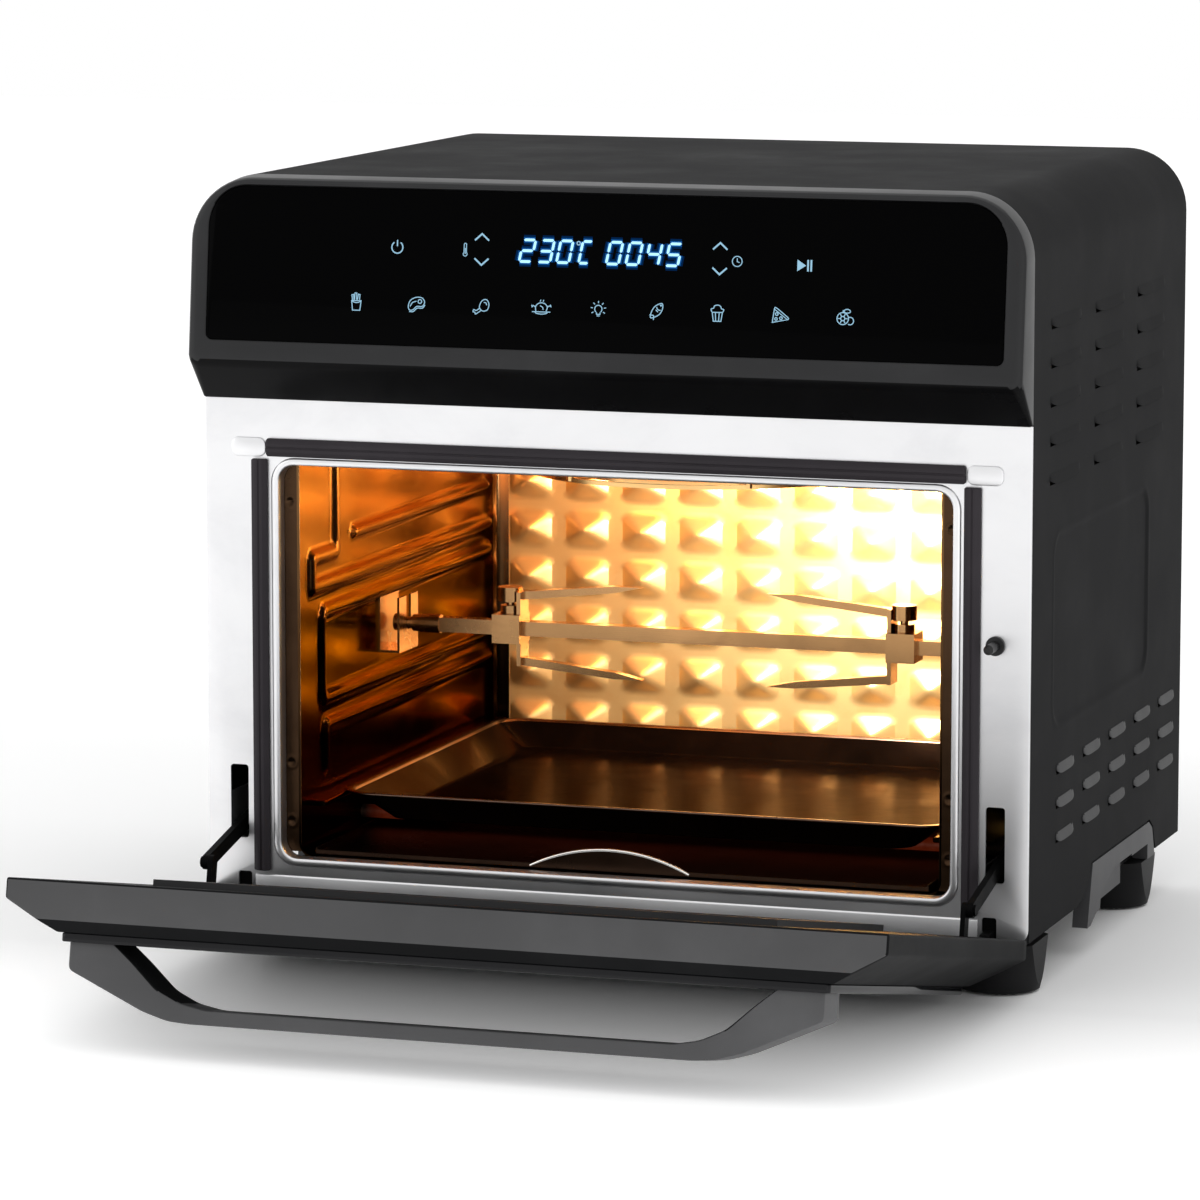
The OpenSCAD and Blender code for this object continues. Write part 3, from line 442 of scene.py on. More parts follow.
M = {
    "coat": coat("satin_black_coat", (0.0140, 0.0141, 0.0147), 0.56, gloss=0.012),
    # painted highlight: a lighter copy of the coat for the hoods of the lower vents
    "hood": coat("louvre_hood_painted_highlight", (0.040, 0.040, 0.041), 0.45, gloss=0.08),
    "base": coat("base_coat", (0.010, 0.010, 0.011), 0.6, gloss=0.1),
    "head": coat("head_moulding", (0.017, 0.0172, 0.0182), 0.36, grain=0.02, scale=2800, gloss=0.2),
    # painted shade: a darker copy of the head's plastic for its downward faces
    "chin": coat("chin_painted_shade", (0.0035, 0.0035, 0.0038), 0.3, grain=0.015, scale=2800, gloss=0.06),
    "handle": coat("handle_moulding", (0.050, 0.050, 0.052), 0.42, grain=0.03, scale=2600, gloss=0.4),
    "door": coat("door_coat", (0.044, 0.044, 0.0455), 0.42, grain=0.02, scale=2600, gloss=0.4),
    "inner_panel": coat("inner_panel_coat", (0.032, 0.032, 0.033), 0.5, grain=0.02, scale=2600, gloss=0.08),
    # painted shade: a near-black copy of the door's coat for faces turned away from the light
    "painted_shade": coat("door_painted_shade", (0.008, 0.0082, 0.0087), 0.5, grain=0.02, scale=2600, gloss=0.03),
    "grip": coat("grip_moulding", (0.042, 0.042, 0.044), 0.5, grain=0.05, scale=1600, gloss=0.3),
    "foot": coat("foot_moulding", (0.010, 0.010, 0.0105), 0.5, grain=0.05, scale=1500, gloss=0.08),
    "hinge": coat("hinge_coat", (0.0022, 0.0022, 0.0023), 0.5, grain=0.02, gloss=0.03),
    "switch": coat("switch_moulding", (0.007, 0.007, 0.0075), 0.4, grain=0.02, gloss=0.35),
    "rubber": coat("rubber", (0.008, 0.008, 0.008), 0.75, grain=0.06, scale=1200, gloss=0.1),
    "seal": coat("seal_silicone", (0.030, 0.026, 0.030), 0.62, grain=0.03, scale=1800, gloss=0.15),
    "steel": metal("brushed_steel", (0.745, 0.745, 0.755), 0.36, along=(1.5, 90, 90), spread=0.05,
                   line=0.006, stain=(0.66, 0.66, 0.675)),
    # painted shade: a dark copy of the brushed steel for faces turned sideways
    "shaded_steel_edge": metal("shaded_steel_edge", (0.30, 0.30, 0.305), 0.4, along=(1.5, 90, 90), line=0.006),
    "lip": metal("rolled_lip_steel", (0.90, 0.90, 0.90), 0.22, along=(4, 60, 60), line=0.003),
    "zinc": metal("zinc_plate", (0.55, 0.56, 0.57), 0.42, along=(1, 8, 8), line=0.01),
    "liner": metal("liner_steel", (0.93, 0.63, 0.27), 0.34, along=(1, 4, 24), spread=0.07,
                   line=0.006, stain=(0.86, 0.46, 0.15), metallic=0.75),
    "flange": metal("flange_steel", (0.055, 0.030, 0.016), 0.30, along=(1, 4, 14), spread=0.08,
                    line=0.01, stain=(0.03, 0.016, 0.009)),
    # painted shade: the cavity floor is near black, so that it stays dark under the light that comes in
    # through the window
    "floor": metal("liner_floor", (0.03, 0.02, 0.015), 0.38, along=(1, 12, 1), line=0.008,
                   stain=(0.012, 0.008, 0.006)),
    "bracket": metal("bracket_steel", (0.42, 0.24, 0.11), 0.24, along=(1, 9, 30), line=0.006),
    "spit": metal("spit_steel", (0.44, 0.24, 0.10), 0.20, along=(3, 40, 40), line=0.006,
                  stain=(0.22, 0.11, 0.05)),
    "guard": metal("guard_wire", (0.80, 0.50, 0.20), 0.25, along=(9, 9, 9), line=0.006),
    "fan": metal("fan_steel", (0.60, 0.60, 0.60), 0.35, along=(6, 6, 40), line=0.01),
    "probe": metal("probe_steel", (0.62, 0.60, 0.57), 0.28, along=(2, 30, 30), line=0.006),
    "screw": metal("screw_plate", (0.42, 0.42, 0.43), 0.3, along=(9, 9, 9), line=0.01),
    "crumb": metal("crumb_tray_steel", (0.05, 0.028, 0.018), 0.30, along=(1, 20, 4), line=0.01,
                   stain=(0.014, 0.008, 0.006)),
    # painted highlight: a lighter, more metallic copy of the enamel for the top of the tray's rim
    "rim_highlight": metal("painted_rim_highlight", (0.16, 0.100, 0.072), 0.24, along=(2, 2, 20), line=0.01,
                      stain=(0.05, 0.028, 0.018)),
    "pull": metal("pull_steel", (0.88, 0.86, 0.82), 0.22, along=(3, 20, 20), line=0.003),
}


def wall_steel():
    """Bronzed side wall in cloudy tones, golden near the roof and darker towards the floor: a painted shade
    for the light that the tray holds back.
    """
    f = Finish("wall_steel", (0.46, 0.22, 0.08), 0.16, 1.0)
    split = f.node("SeparateXYZ")
    f.link(f.coord, split.inputs[0])
    # painted shade: colour and specular tint darken from the roof down to the floor
    height = f.span(split.outputs["Z"], 0.0, 1.0, (CAV_Z0 + 40) * MM, (CAV_Z1 - 20) * MM)
    mix = f.node("Math", operation="MULTIPLY_ADD")
    f.link(f.noise(13, (1, 1.5, 2.0), detail=7, rough=0.65, warp=0.5), mix.inputs[0])
    mix.inputs[1].default_value = 0.5
    f.link(f.span(height, -0.22, 0.62, 0.0, 1.0), mix.inputs[2])
    f.colours(mix.outputs[0], [(0.05, (0.012, 0.006, 0.0025)), (0.4, (0.052, 0.024, 0.009)),
                               (0.8, (0.13, 0.070, 0.029))])
    f.colours(height, [(0.05, (0.64, 0.49, 0.36)), (0.35, (0.73, 0.56, 0.42)),
                       (0.8, (0.79, 0.61, 0.46))], "Specular Tint")
    f.roughness(f.noise(18, detail=6), 0.11, 0.24)
    f.bump(f.noise(30, (1, 4, 24), detail=8, rough=0.7), 0.004)
    return f.material


def enamel():
    """Dark enamel with burnt-in patches and a fine orange-peel surface."""
    f = Finish("tray_enamel", (0.030, 0.016, 0.010), 0.2, 0.16,
               **{"Specular IOR Level": 0.0, "Specular Tint": (1.0, 0.78, 0.62, 1)})
    patch = f.noise(22, detail=7, rough=0.65, warp=0.5)
    f.colours(patch, [(0.25, (0.0012, 0.0007, 0.0005)), (0.55, (0.0035, 0.0017, 0.001)),
                      (0.85, (0.009, 0.004, 0.002))])
    f.roughness(f.noise(60, detail=5), 0.12, 0.26)
    f.bump(f.noise(260, detail=2), 0.05, 0.6)
    return f.material


def panel_glass():
    """Black glass over the display, faintly smeared."""
    f = Finish("panel_glass", (0.0003, 0.0003, 0.0004), 0.05, **{"Specular IOR Level": 0.02})
    f.roughness(f.noise(35, detail=6), 0.03, 0.09)
    return f.material


def smoked(name, colour, through):
    """Tinted glass; through is how much light it lets pass."""
    f = Finish(name, colour, 0.05, **{"Transmission Weight": through, "IOR": 1.45,
                                      "Specular IOR Level": 0.2})
    f.roughness(f.noise(30, detail=6), 0.02, 0.09)
    f.bump(f.noise(4, detail=2), 0.05, 0.2)
    return f.material


def lit(name, colour, strength, base=(0.02, 0.05, 0.08), gloss=0.5):
    """Surface that gives off light of its own."""
    f = Finish(name, base, 0.4, **{"Emission Color": (*colour, 1), "Emission Strength": strength,
                                   "Specular IOR Level": gloss})
    f.roughness(f.noise(900, detail=2), 0.3, 0.5)
    return f.material


def heater():
    """Oxidised sheath that glows a dull red."""
    f = Finish("heater_sheath", (0.16, 0.10, 0.08), 0.45, 0.7,
               **{"Emission Color": (1.0, 0.10, 0.015, 1)})
    f.colours(f.noise(120, detail=5), [(0.3, (0.07, 0.04, 0.035)), (0.7, (0.26, 0.17, 0.13))])
    split = f.node("SeparateXYZ")
    f.link(f.coord, split.inputs[0])
    side = f.node("Math", operation="ABSOLUTE")
    f.link(split.outputs["X"], side.inputs[0])
    f.link(f.span(side.outputs[0], 0.05, 0.0, (CAV_X - 12) * MM, (CAV_X - 2) * MM),
           f.shader.inputs["Emission Strength"])
    f.bump(f.noise(900, detail=3), 0.05)
    return f.material


def board():
    """Circuit board: green lacquer with soldered points."""
    f = Finish("circuit_board", (0.02, 0.11, 0.05), 0.35)
    f.colours(f.cells(260), [(0.1, (0.35, 0.30, 0.12)), (0.2, (0.015, 0.09, 0.04)),
                             (0.7, (0.02, 0.12, 0.055))])
    f.bump(f.cells(260), 0.2)
    return f.material


def ceramic():
    """Off-white steatite of the lamp holder."""
    f = Finish("lamp_ceramic", (0.80, 0.77, 0.70), 0.35)
    f.colours(f.noise(60, detail=6), [(0.3, (0.70, 0.66, 0.58)), (0.7, (0.84, 0.81, 0.75))])
    f.bump(f.noise(700, detail=3), 0.04)
    return f.material


M.update({
    "enamel": enamel(),
    "wall": wall_steel(),
    "panel": panel_glass(),
    "door_glass": smoked("door_glass", (0.008, 0.008, 0.009), 0.0),
    "inner_glass": smoked("inner_glass", (0.05, 0.05, 0.052), 0.35),
    "heater": heater(),
    "board": board(),
    "ceramic": ceramic(),
    "bulb": lit("bulb_glow", (1.0, 0.62, 0.25), 30, (0.9, 0.7, 0.4)),
    "lens": lit("lens_glow", (1.0, 0.60, 0.24), 5, (0.9, 0.75, 0.5)),
    "digit": lit("digit_glow", (0.40, 0.78, 1.0), 1.3),
    "glow": lit("digit_halo", (0.02, 0.26, 0.95), 0.32, (0.0, 0.001, 0.003), 0.0),
    "spill": lit("digit_spill", (0.01, 0.19, 0.80), 0.085, (0.0, 0.0005, 0.001), 0.0),
    "symbol": lit("symbol_glow", (0.34, 0.62, 0.80), 0.8),
})


def paint(ob, key):
    ob.data.materials.clear()
    ob.data.materials.append(M[key])
    for p in ob.data.polygons:
        p.material_index = 0
    return ob


def repaint(ob, key, chosen):
    """Gives the chosen faces a second material; chosen is asked for each face."""
    ob.data.materials.append(M[key])
    for p in ob.data.polygons:
        if chosen(p):
            p.material_index = 1


def fit(ob, key, body, slot, *nodes):
    """Paints a new piece, lets it ride on its body and stands it for its CAD nodes."""
    paint(ob, key)
    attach(ob, body)
    if nodes:
        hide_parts(*nodes)
    return ob


def keep(node, key, edge, steps=2):
    """Keeps a CAD node's mesh, with a worn edge and its own material."""
    ob = paint(NODES[node], key)
    if edge:
        flat = ob.modifiers.new("flat", "DECIMATE")
        flat.decimate_type, flat.angle_limit = "DISSOLVE", math.radians(1.5)
        b = ob.modifiers.new("edge", "BEVEL")
        b.width, b.segments, b.limit_method = edge * MM, steps, "ANGLE"
        b.angle_limit, b.harden_normals = math.radians(SHARP), True
        b.use_clamp_overlap = True
    shade(ob.data, SHARP)


# ------------------------------------------------------------------ housing

# slots in each side as (y of the middle, height, length): vents above, low vents near the feet
LOUVRES = [(-92 + 84 * c, 305 - 17.8 * r, 54) for c in range(3) for r in range(5)]
LOUVRES += [(-86 + 51 * c, 98 - 16 * r, 31) for c in range(5) for r in range(3)]
SLOT_HALF = 1.2                           # half the height of a slot
PANEL = (-108, 75, 121, 208, 11)          # embossed panel on each side: y, y, z, z, corner radius
SKIN = 1.2                                # thickness of the housing
# outline, as (y, z), of the recess for the side grip
NOTCH = [(-70, BASE_Z - 2), (-66, BASE_Z - 1), (-47, BASE_Z + 2), (-38, BASE_Z + 8),
         (-31, BASE_Z + 16.5), (88, BASE_Z + 16.5), (95, BASE_Z + 12), (101, BASE_Z - 1),
         (101, BASE_Z - 2)]
HOOD_RISE, HOOD_DROP, HOOD_SHEET = 1.35, 5.4, 0.5
HOOD_U = (0.3, 0.6, 0.75, 0.85, 0.92, 0.97, 1)
HOOD_V = (0, 0.12, 0.28, 0.48, 0.7, 0.88, 1)


def in_louvre(y, z):
    return any(abs(y - c) < length / 2 and abs(z - h) < SLOT_HALF for c, h, length in LOUVRES)


def panel_depth(y, z):
    """The panel's sunk face, with a low bead round it."""
    d = rect_distance(y, z, *PANEL)
    return -0.75 * smoothstep(1.6, -1.6, d) + 0.22 * math.exp(-((d - 2.2) / 1.5) ** 2)


def louvre_hood(side, middle, height, length):
    """Pressed hood over a slot, thin at its open lower edge; side is -1 or 1."""
    us = [-u for u in HOOD_U[::-1]] + [0, *HOOD_U]
    nu, nv = len(us), len(HOOD_V)
    half = length / 2 + 1.2

    def point(u, v, depth):
        rise = HOOD_RISE * (1 - abs(u) ** 7) ** 0.6 * v ** 0.8
        drop = HOOD_DROP * v * (0.55 + 0.45 * (1 - abs(u) ** 5))
        return (side * (HALF_W - 0.03 + rise - depth), middle + u * half, height + 4.3 - drop)

    verts = [point(u, v, depth) for depth in (0, HOOD_SHEET) for v in HOOD_V for u in us]
    back = nu * nv                        # the inner face's points follow the outer face's
    faces = []
    for j in range(nv - 1):
        for i in range(nu - 1):
            q = (j * nu + i, j * nu + i + 1, (j + 1) * nu + i + 1, (j + 1) * nu + i)
            faces += [q, tuple(k + back for k in q[::-1])]
    rim = list(range(nu)) + [j * nu + nu - 1 for j in range(1, nv)]
    rim += [(nv - 1) * nu + i for i in range(nu - 2, -1, -1)] + [j * nu for j in range(nv - 2, 0, -1)]
    faces += [(b, a, a + back, b + back) for a, b in zip(rim, rim[1:] + rim[:1])]
    hood = make("hood", verts, faces, 0)
    recalc(hood)
    return hood


def housing_profile():
    """Section through the wrap-round sheet as (x, z, side); side is 0 on the roof and its corners."""
    flat_z = spaced((BASE_Z, 120, 30), (112, 132, 1.3), (132, 197, 16), (197, 217, 1.3),
                    (217, TOP_Z - CORNER_R, 30),
                    *[(h - SLOT_HALF, h + SLOT_HALF, 2 * SLOT_HALF) for c, h, length in LOUVRES])
    profile = [(-HALF_W, z, -1) for z in flat_z]
    for k in range(1, 14):
        a = math.radians(180 - 90 * k / 14)
        profile.append((-HALF_W + CORNER_R * (1 + math.cos(a)), TOP_Z - CORNER_R * (1 - math.sin(a)), 0))
    profile += [(x, TOP_Z, 0) for x in spaced((-HALF_W + CORNER_R, HALF_W - CORNER_R, 34))]
    return profile + [(-x, z, -side) for x, z, side in profile[::-1] if x < -HALF_W + CORNER_R - 0.01]


def build_housing():
    profile = housing_profile()
    ys = spaced((FRONT_Y, REAR_Y, 60), (-120, -96, 1.3), (63, 87, 1.3),
                *[(c - length / 2, c + length / 2, length) for c, h, length in LOUVRES])
    ys = [y for y in ys if FRONT_Y <= y <= REAR_Y]

    def place(i, y, lift):
        x, z, side = profile[i]
        return (x + side * lift, y, z)

    def height(i, y):
        x, z, side = profile[i]
        return panel_depth(y, z) if side else 0.0

    def skip(i, y):
        a, b = profile[int(i)], profile[int(i) + 1]
        return bool(a[2] and a[2] == b[2]) and in_louvre(y, (a[1] + b[1]) / 2)

    skin = thicken(field("housing_skin", list(range(len(profile))), ys, place, height, skip), SKIN)
    cutters = []
    for s in (-1, 1):
        outline = NOTCH if s > 0 else NOTCH[::-1]
        cutters.append(loft("notch", [[(s * (HALF_W + d), y, z) for y, z in outline] for d in (4, -4)],
                            smooth=0))
    # below the head, the steel front covers the sheet's front edge
    w, past = HALF_W + 3, 3
    edge = [(-w, BASE_Z - past), (w, BASE_Z - past), (w, HEAD_Z), (-w, HEAD_Z)]
    cutters.append(loft("edge", [[(x, y, z) for x, z in edge] for y in (FRONT_Y - past, FRONT_Y + 1.3)],
                        smooth=0))
    cut(skin, cutters, 35)
    hoods = [louvre_hood(s, *louvre) for s in (-1, 1) for louvre in LOUVRES]
    housing = join("housing_shell", [skin] + hoods, 38)
    fit(housing, "coat", "oven", "coat", "housing")
    # painted highlight: the lower hoods get the lighter copy of the coat, for the light their sloping faces
    # catch from above
    repaint(housing, "hood",
            lambda p: abs(p.center[0]) > (HALF_W + 0.3) * MM and p.center[2] < PANEL[2] * MM)


build_housing()


# ------------------------------------------------------------------ control head

def head_loop(w, low, high, depth, r_top, r_low):
    """Outline on the tilted face: half width, lower and upper edge, depth behind the face."""
    return [on_face(x, depth, v) for x, v in rounded(-w, w, low, high, (r_low, r_top, r_top, r_low), 14)]


def wall_loop(w, low, high, y, r_top, r_low):
    """Upright outline behind the tilted face."""
    return [(x, y, z) for x, z in rounded(-w, w, low, high, (r_low, r_top, r_top, r_low), 14)]


GLASS_W, GLASS_LOW, GLASS_HIGH = 190.8, 9.3, 80.8


def build_head():
    loops = [
        wall_loop(199.5, HEAD_Z + 0.4, TOP_Z - 0.5, FRONT_Y, 29.6, 1.0),
        wall_loop(200, HEAD_Z, TOP_Z, FRONT_Y - 0.6, 30, 1.2),
        wall_loop(200, HEAD_Z, TOP_Z, FRONT_Y - 1.8, 30, 1.6),
        head_loop(200, -3.9, FACE_H - 0.55, 3.4, 30, 5.0),
        head_loop(199.7, -2.6, FACE_H - 0.9, 1.9, 29.7, 5.0),
        head_loop(198.8, -1.2, FACE_H - 1.7, 0.8, 28.8, 4.8),
        head_loop(197.4, 0.1, FACE_H - 2.8, 0.2, 27.4, 4.6),
        head_loop(196.2, 1.1, FACE_H - 3.5, 0.02, 26.4, 4.4),
        head_loop(192.2, GLASS_LOW - 1.3, GLASS_HIGH + 1.3, 0.0, 20.2, 4.0),
        head_loop(191.5, GLASS_LOW - 0.6, GLASS_HIGH + 0.7, 0.12, 19.6, 3.5),
        head_loop(191.1, GLASS_LOW - 0.25, GLASS_HIGH + 0.3, 0.5, 19.3, 3.3),
        head_loop(191.0, GLASS_LOW - 0.2, GLASS_HIGH + 0.2, 3.65, 19.2, 3.2),
        head_loop(186.8, GLASS_LOW + 4, GLASS_HIGH - 4, 3.65, 15, 1.5),
        head_loop(186.8, GLASS_LOW + 4, GLASS_HIGH - 4, 6.0, 15, 1.5),
        head_loop(196.6, 1.5, FACE_H - 3.6, 6.0, 26.5, 3.0),
        wall_loop(197, HEAD_Z + 3, TOP_Z - 3, FRONT_Y, 27, 1.0),
    ]
    head = loft("control_head", loops, closed=True, smooth=24)
    fit(head, "head", "oven", "head_plastic", "control_bezel")
    # painted shade: the head's downward faces get the darker copy of its plastic
    repaint(head, "chin", lambda p: p.normal[2] < -0.3 and p.center[1] < (FRONT_Y - 0.7) * MM)
    glass = loft("control_panel_glass", [
        head_loop(GLASS_W - d, GLASS_LOW + d, GLASS_HIGH - d, depth, r_top, r_low)
        for d, depth, r_top, r_low in ((0, 3.6, 19, 3), (0, 1.0, 19, 3), (0.15, 0.74, 18.9, 2.9),
                                       (0.5, 0.62, 18.6, 2.7))], smooth=24)
    fit(glass, "panel", "oven", "control_glass", "control_glass")


build_head()


# ------------------------------------------------------------------ symbols on the glass

INK, INK_BACK = 0.52, 0.61                # the lit shapes lie just on the glass


def plate(polygons, front=INK):
    """Thin raised shapes on the panel; each polygon is anticlockwise and lies in the panel's plane."""
    verts, faces = [], []
    for poly in polygons:
        n, base = len(poly), len(verts)
        verts += [on_face(x, front, v) for x, v in poly] + [on_face(x, INK_BACK, v) for x, v in poly]
        faces.append(tuple(base + i for i in range(n)))
        faces.append(tuple(base + n + i for i in range(n - 1, -1, -1)))
        faces += [(base + i, base + n + i, base + n + (i + 1) % n, base + (i + 1) % n) for i in range(n)]
    return verts, faces


def stroke(points, width, closed=False):
    """Quads along a line, with mitred corners."""
    pts = [Vector(p) for p in points]
    n = len(pts)
    rails = []
    for i, p in enumerate(pts):
        a = pts[i - 1] if (closed or i) else None
        b = pts[(i + 1) % n] if (closed or i < n - 1) else None
        u = (p - a).normalized() if a is not None else None
        w = (b - p).normalized() if b is not None else None
        u, w = u or w, w or u
        na, nb = Vector((-u[1], u[0])), Vector((-w[1], w[0]))
        m = (na + nb).normalized() if (na + nb).length > 1e-4 else na
        m *= width / 2 / max(0.5, m.dot(na))
        rails.append((p + m, p - m))
    quads = []
    for i in range(n if closed else n - 1):
        (a0, a1), (b0, b1) = rails[i], rails[(i + 1) % n]
        quads.append([tuple(a1), tuple(b1), tuple(b0), tuple(a0)])
    return quads


def arc(cx, cy, r, start, end, steps=14, ry=None):
    """Points of an arc, angles in degrees; ry makes it oval."""
    return [(cx + r * math.cos(math.radians(start + (end - start) * k / steps)),
             cy + (ry or r) * math.sin(math.radians(start + (end - start) * k / steps)))
            for k in range(steps + 1)]


def ring(cx, cy, r, steps=18, ry=None):
    return arc(cx, cy, r, 0, 360 * (steps - 1) / steps, steps - 1, ry)


def curve(points, steps=5, closed=False):
    """Smooth line through the points."""
    pts = [Vector(p) for p in points]
    n = len(pts)
    out = []
    for i in range(n if closed else n - 1):
        p0 = pts[(i - 1) % n] if closed or i else pts[0]
        p1, p2 = pts[i], pts[(i + 1) % n]
        p3 = pts[(i + 2) % n] if closed or i + 2 < n else p2
        for k in range(steps):
            t = k / steps
            out.append(tuple(0.5 * ((2 * p1) + (p2 - p0) * t + (2 * p0 - 5 * p1 + 4 * p2 - p3) * t * t
                                    + (3 * p1 - p0 - 3 * p2 + p3) * t ** 3)))
    if not closed:
        out.append(tuple(pts[-1]))
    return out


ICON_LINE = 0.42
ICON_Z = 311.5
ICON_X = (-116.8, -87.4, -55.8, -26.8, 0.6, 28.7, 57.2, 86.9, 117.2)


def line(*points):
    return (points, False)


def polygon(*points):
    return (points, True)


def bow(*points, steps=4):
    return (curve(points, steps), False)


def blob(*points, steps=4):
    return (curve(points, steps, True), True)


def sweep(*values):
    return (arc(*values), False)


def circle(*values):
    return (ring(*values), True)


def spokes(cx, cy, inner, outer, first, step, count):
    """Short lines that point away from a centre."""
    out = []
    for k in range(count):
        a = math.radians(first + step * k)
        c, s = math.cos(a), math.sin(a)
        out.append(line((cx + inner * c, cy + inner * s), (cx + outer * c, cy + outer * s)))
    return out


def icon_shapes():
    """Lines of the nine programme symbols, each as (points, closed), in millimetres from its centre."""
    fries = [polygon((-2.3, 0.6), (-1.8, -3.8), (1.8, -3.8), (2.3, 0.6)),
             sweep(0, 1.0, 2.2, 200, 340, 8, 1.3),
             line((-1.9, 0.8), (-2.3, 3.2), (-1.4, 3.4), (-1.2, 0.9)),
             line((-0.9, 1), (-0.8, 4.1), (0.1, 4.1), (0.1, 1)),
             line((0.5, 1), (0.9, 3.6), (1.7, 3.4), (1.5, 1))]
    steak = [blob((-3.9, -1.2), (-3.0, 1.4), (-0.4, 2.9), (2.6, 2.8), (4.0, 0.9), (2.9, -1.1),
                  (0.2, -1.2), (-1.6, -2.8), (-3.3, -2.9)),
             circle(1.7, 1.1, 0.9, 10),
             bow((-3.0, -1.3), (-1.9, 0.5), (0.0, 1.2)),
             bow((-3.4, -3.6), (-1.4, -3.6), (0.4, -2.0), (3.0, -1.9), (4.2, -0.4))]
    leg = [blob((-0.9, -0.6), (0.2, 2.2), (2.4, 2.9), (3.7, 0.8), (2.9, -1.8), (0.6, -2.3), steps=5),
           bow((-0.9, -1.2), (-2.4, -2.2), (-3.6, -1.8), (-3.9, -2.8), (-3.0, -3.0), (-2.8, -3.8),
               (-1.9, -3.4), (-0.2, -2.2)),
           bow((1.2, 1.6), (2.2, 1.4), (2.6, 0.4))]
    roast = [bow((-2.6, -1.6), (-2.7, 0.6), (-1.0, 2.1), (1.4, 2.0), (2.9, 0.4), (2.3, -1.6), steps=5),
             line((-4.4, -1.9), (4.4, -1.9)),
             sweep(0, -1.9, 3.2, 200, 340, 6, 1.0),
             bow((2.9, 0.4), (3.9, 0.9), (4.6, 0.6), (4.3, 1.5), steps=3),
             bow((-2.7, 0.2), (-3.8, 0.9), (-4.4, 0.3), (-4.6, 1.2), steps=3),
             bow((-0.6, 0.9), (0.6, 0.2), (0.9, -0.9)),
             line((-0.6, 2.8), (-0.3, 3.6)),
             line((0.8, 2.8), (1.1, 3.6))]
    bulb = [sweep(0, 0.2, 1.75, -50, 230, 16),
            line((-0.9, -1.3), (-0.8, -2.2), (0.8, -2.2), (0.9, -1.3)),
            line((-0.7, -2.9), (0.7, -2.9)),
            *spokes(0, 0.2, 2.7, 3.7, -30, 40, 7)]
    fish = [blob((-3.0, -3.0), (-2.7, -0.2), (-0.9, 2.4), (2.2, 3.6), (2.4, 0.9), (0.6, -1.7), steps=5),
            line((-1.6, -1.9), (-3.6, -1.6)),
            line((-1.6, -1.9), (-1.7, -3.9)),
            sweep(1.2, 2.0, 1.5, 180, 285, 6),
            circle(1.7, 2.7, 0.25, 6),
            line((-0.7, 0.7), (0.3, -0.3))]
    cake = [polygon((-2.4, 0.4), (-1.8, -3.6), (1.8, -3.6), (2.4, 0.4)),
            bow((-2.6, 0.6), (-3.0, 1.8), (-1.8, 2.3), (-1.4, 3.3), (0.2, 3.7), (1.5, 3.1),
                (1.9, 2.1), (3.0, 1.7), (2.6, 0.6)),
            line((-0.9, 0.4), (-0.7, -3.6)),
            line((0.9, 0.4), (0.7, -3.6))]
    pizza = [polygon((-2.9, 2.7), (-3.7, -3.3), (3.4, -1.9)),
             bow((-2.9, 2.7), (-2.2, 3.4), (1.4, 0.8), (3.8, -1.2), (3.4, -1.9)),
             circle(-1.7, 0.5, 0.65, 9),
             circle(-2.0, -1.7, 0.6, 9),
             circle(0.3, -1.3, 0.65, 9)]
    fruit = [circle(-1.1, -0.6, 2.7, 20),
             circle(-1.1, -0.6, 1.0, 10),
             sweep(2.3, -1.6, 1.7, -120, 110, 10),
             sweep(0.9, 2.6, 1.5, 0, 180, 8, 1.0),
             sweep(0.9, 2.6, 1.5, 180, 360, 8, 0.7),
             line((-1.1, 2.1), (-0.9, 3.2)),
             *spokes(-1.1, -0.6, 1.2, 2.3, 0, 60, 6)]
    return [fries, steak, leg, roast, bulb, fish, cake, pizza, fruit]


def up_face(z):
    """Height up the tilted face of a point at this height above the worktop."""
    return (z - NOSE_Z) / math.cos(TILT)


# ends of the seven bars, in half heights, and the bars that each character lights
SEGMENTS = {"a": ((0, 2), (1, 2)), "b": ((1, 2), (1, 1)), "c": ((1, 1), (1, 0)), "d": ((1, 0), (0, 0)),
            "e": ((0, 0), (0, 1)), "f": ((0, 1), (0, 2)), "g": ((0, 1), (1, 1))}
LIT = {"0": "abcdef", "2": "abged", "3": "abgcd", "4": "fgbc", "5": "afgcd", "unit": "adef"}


KEY_LINE = 0.4


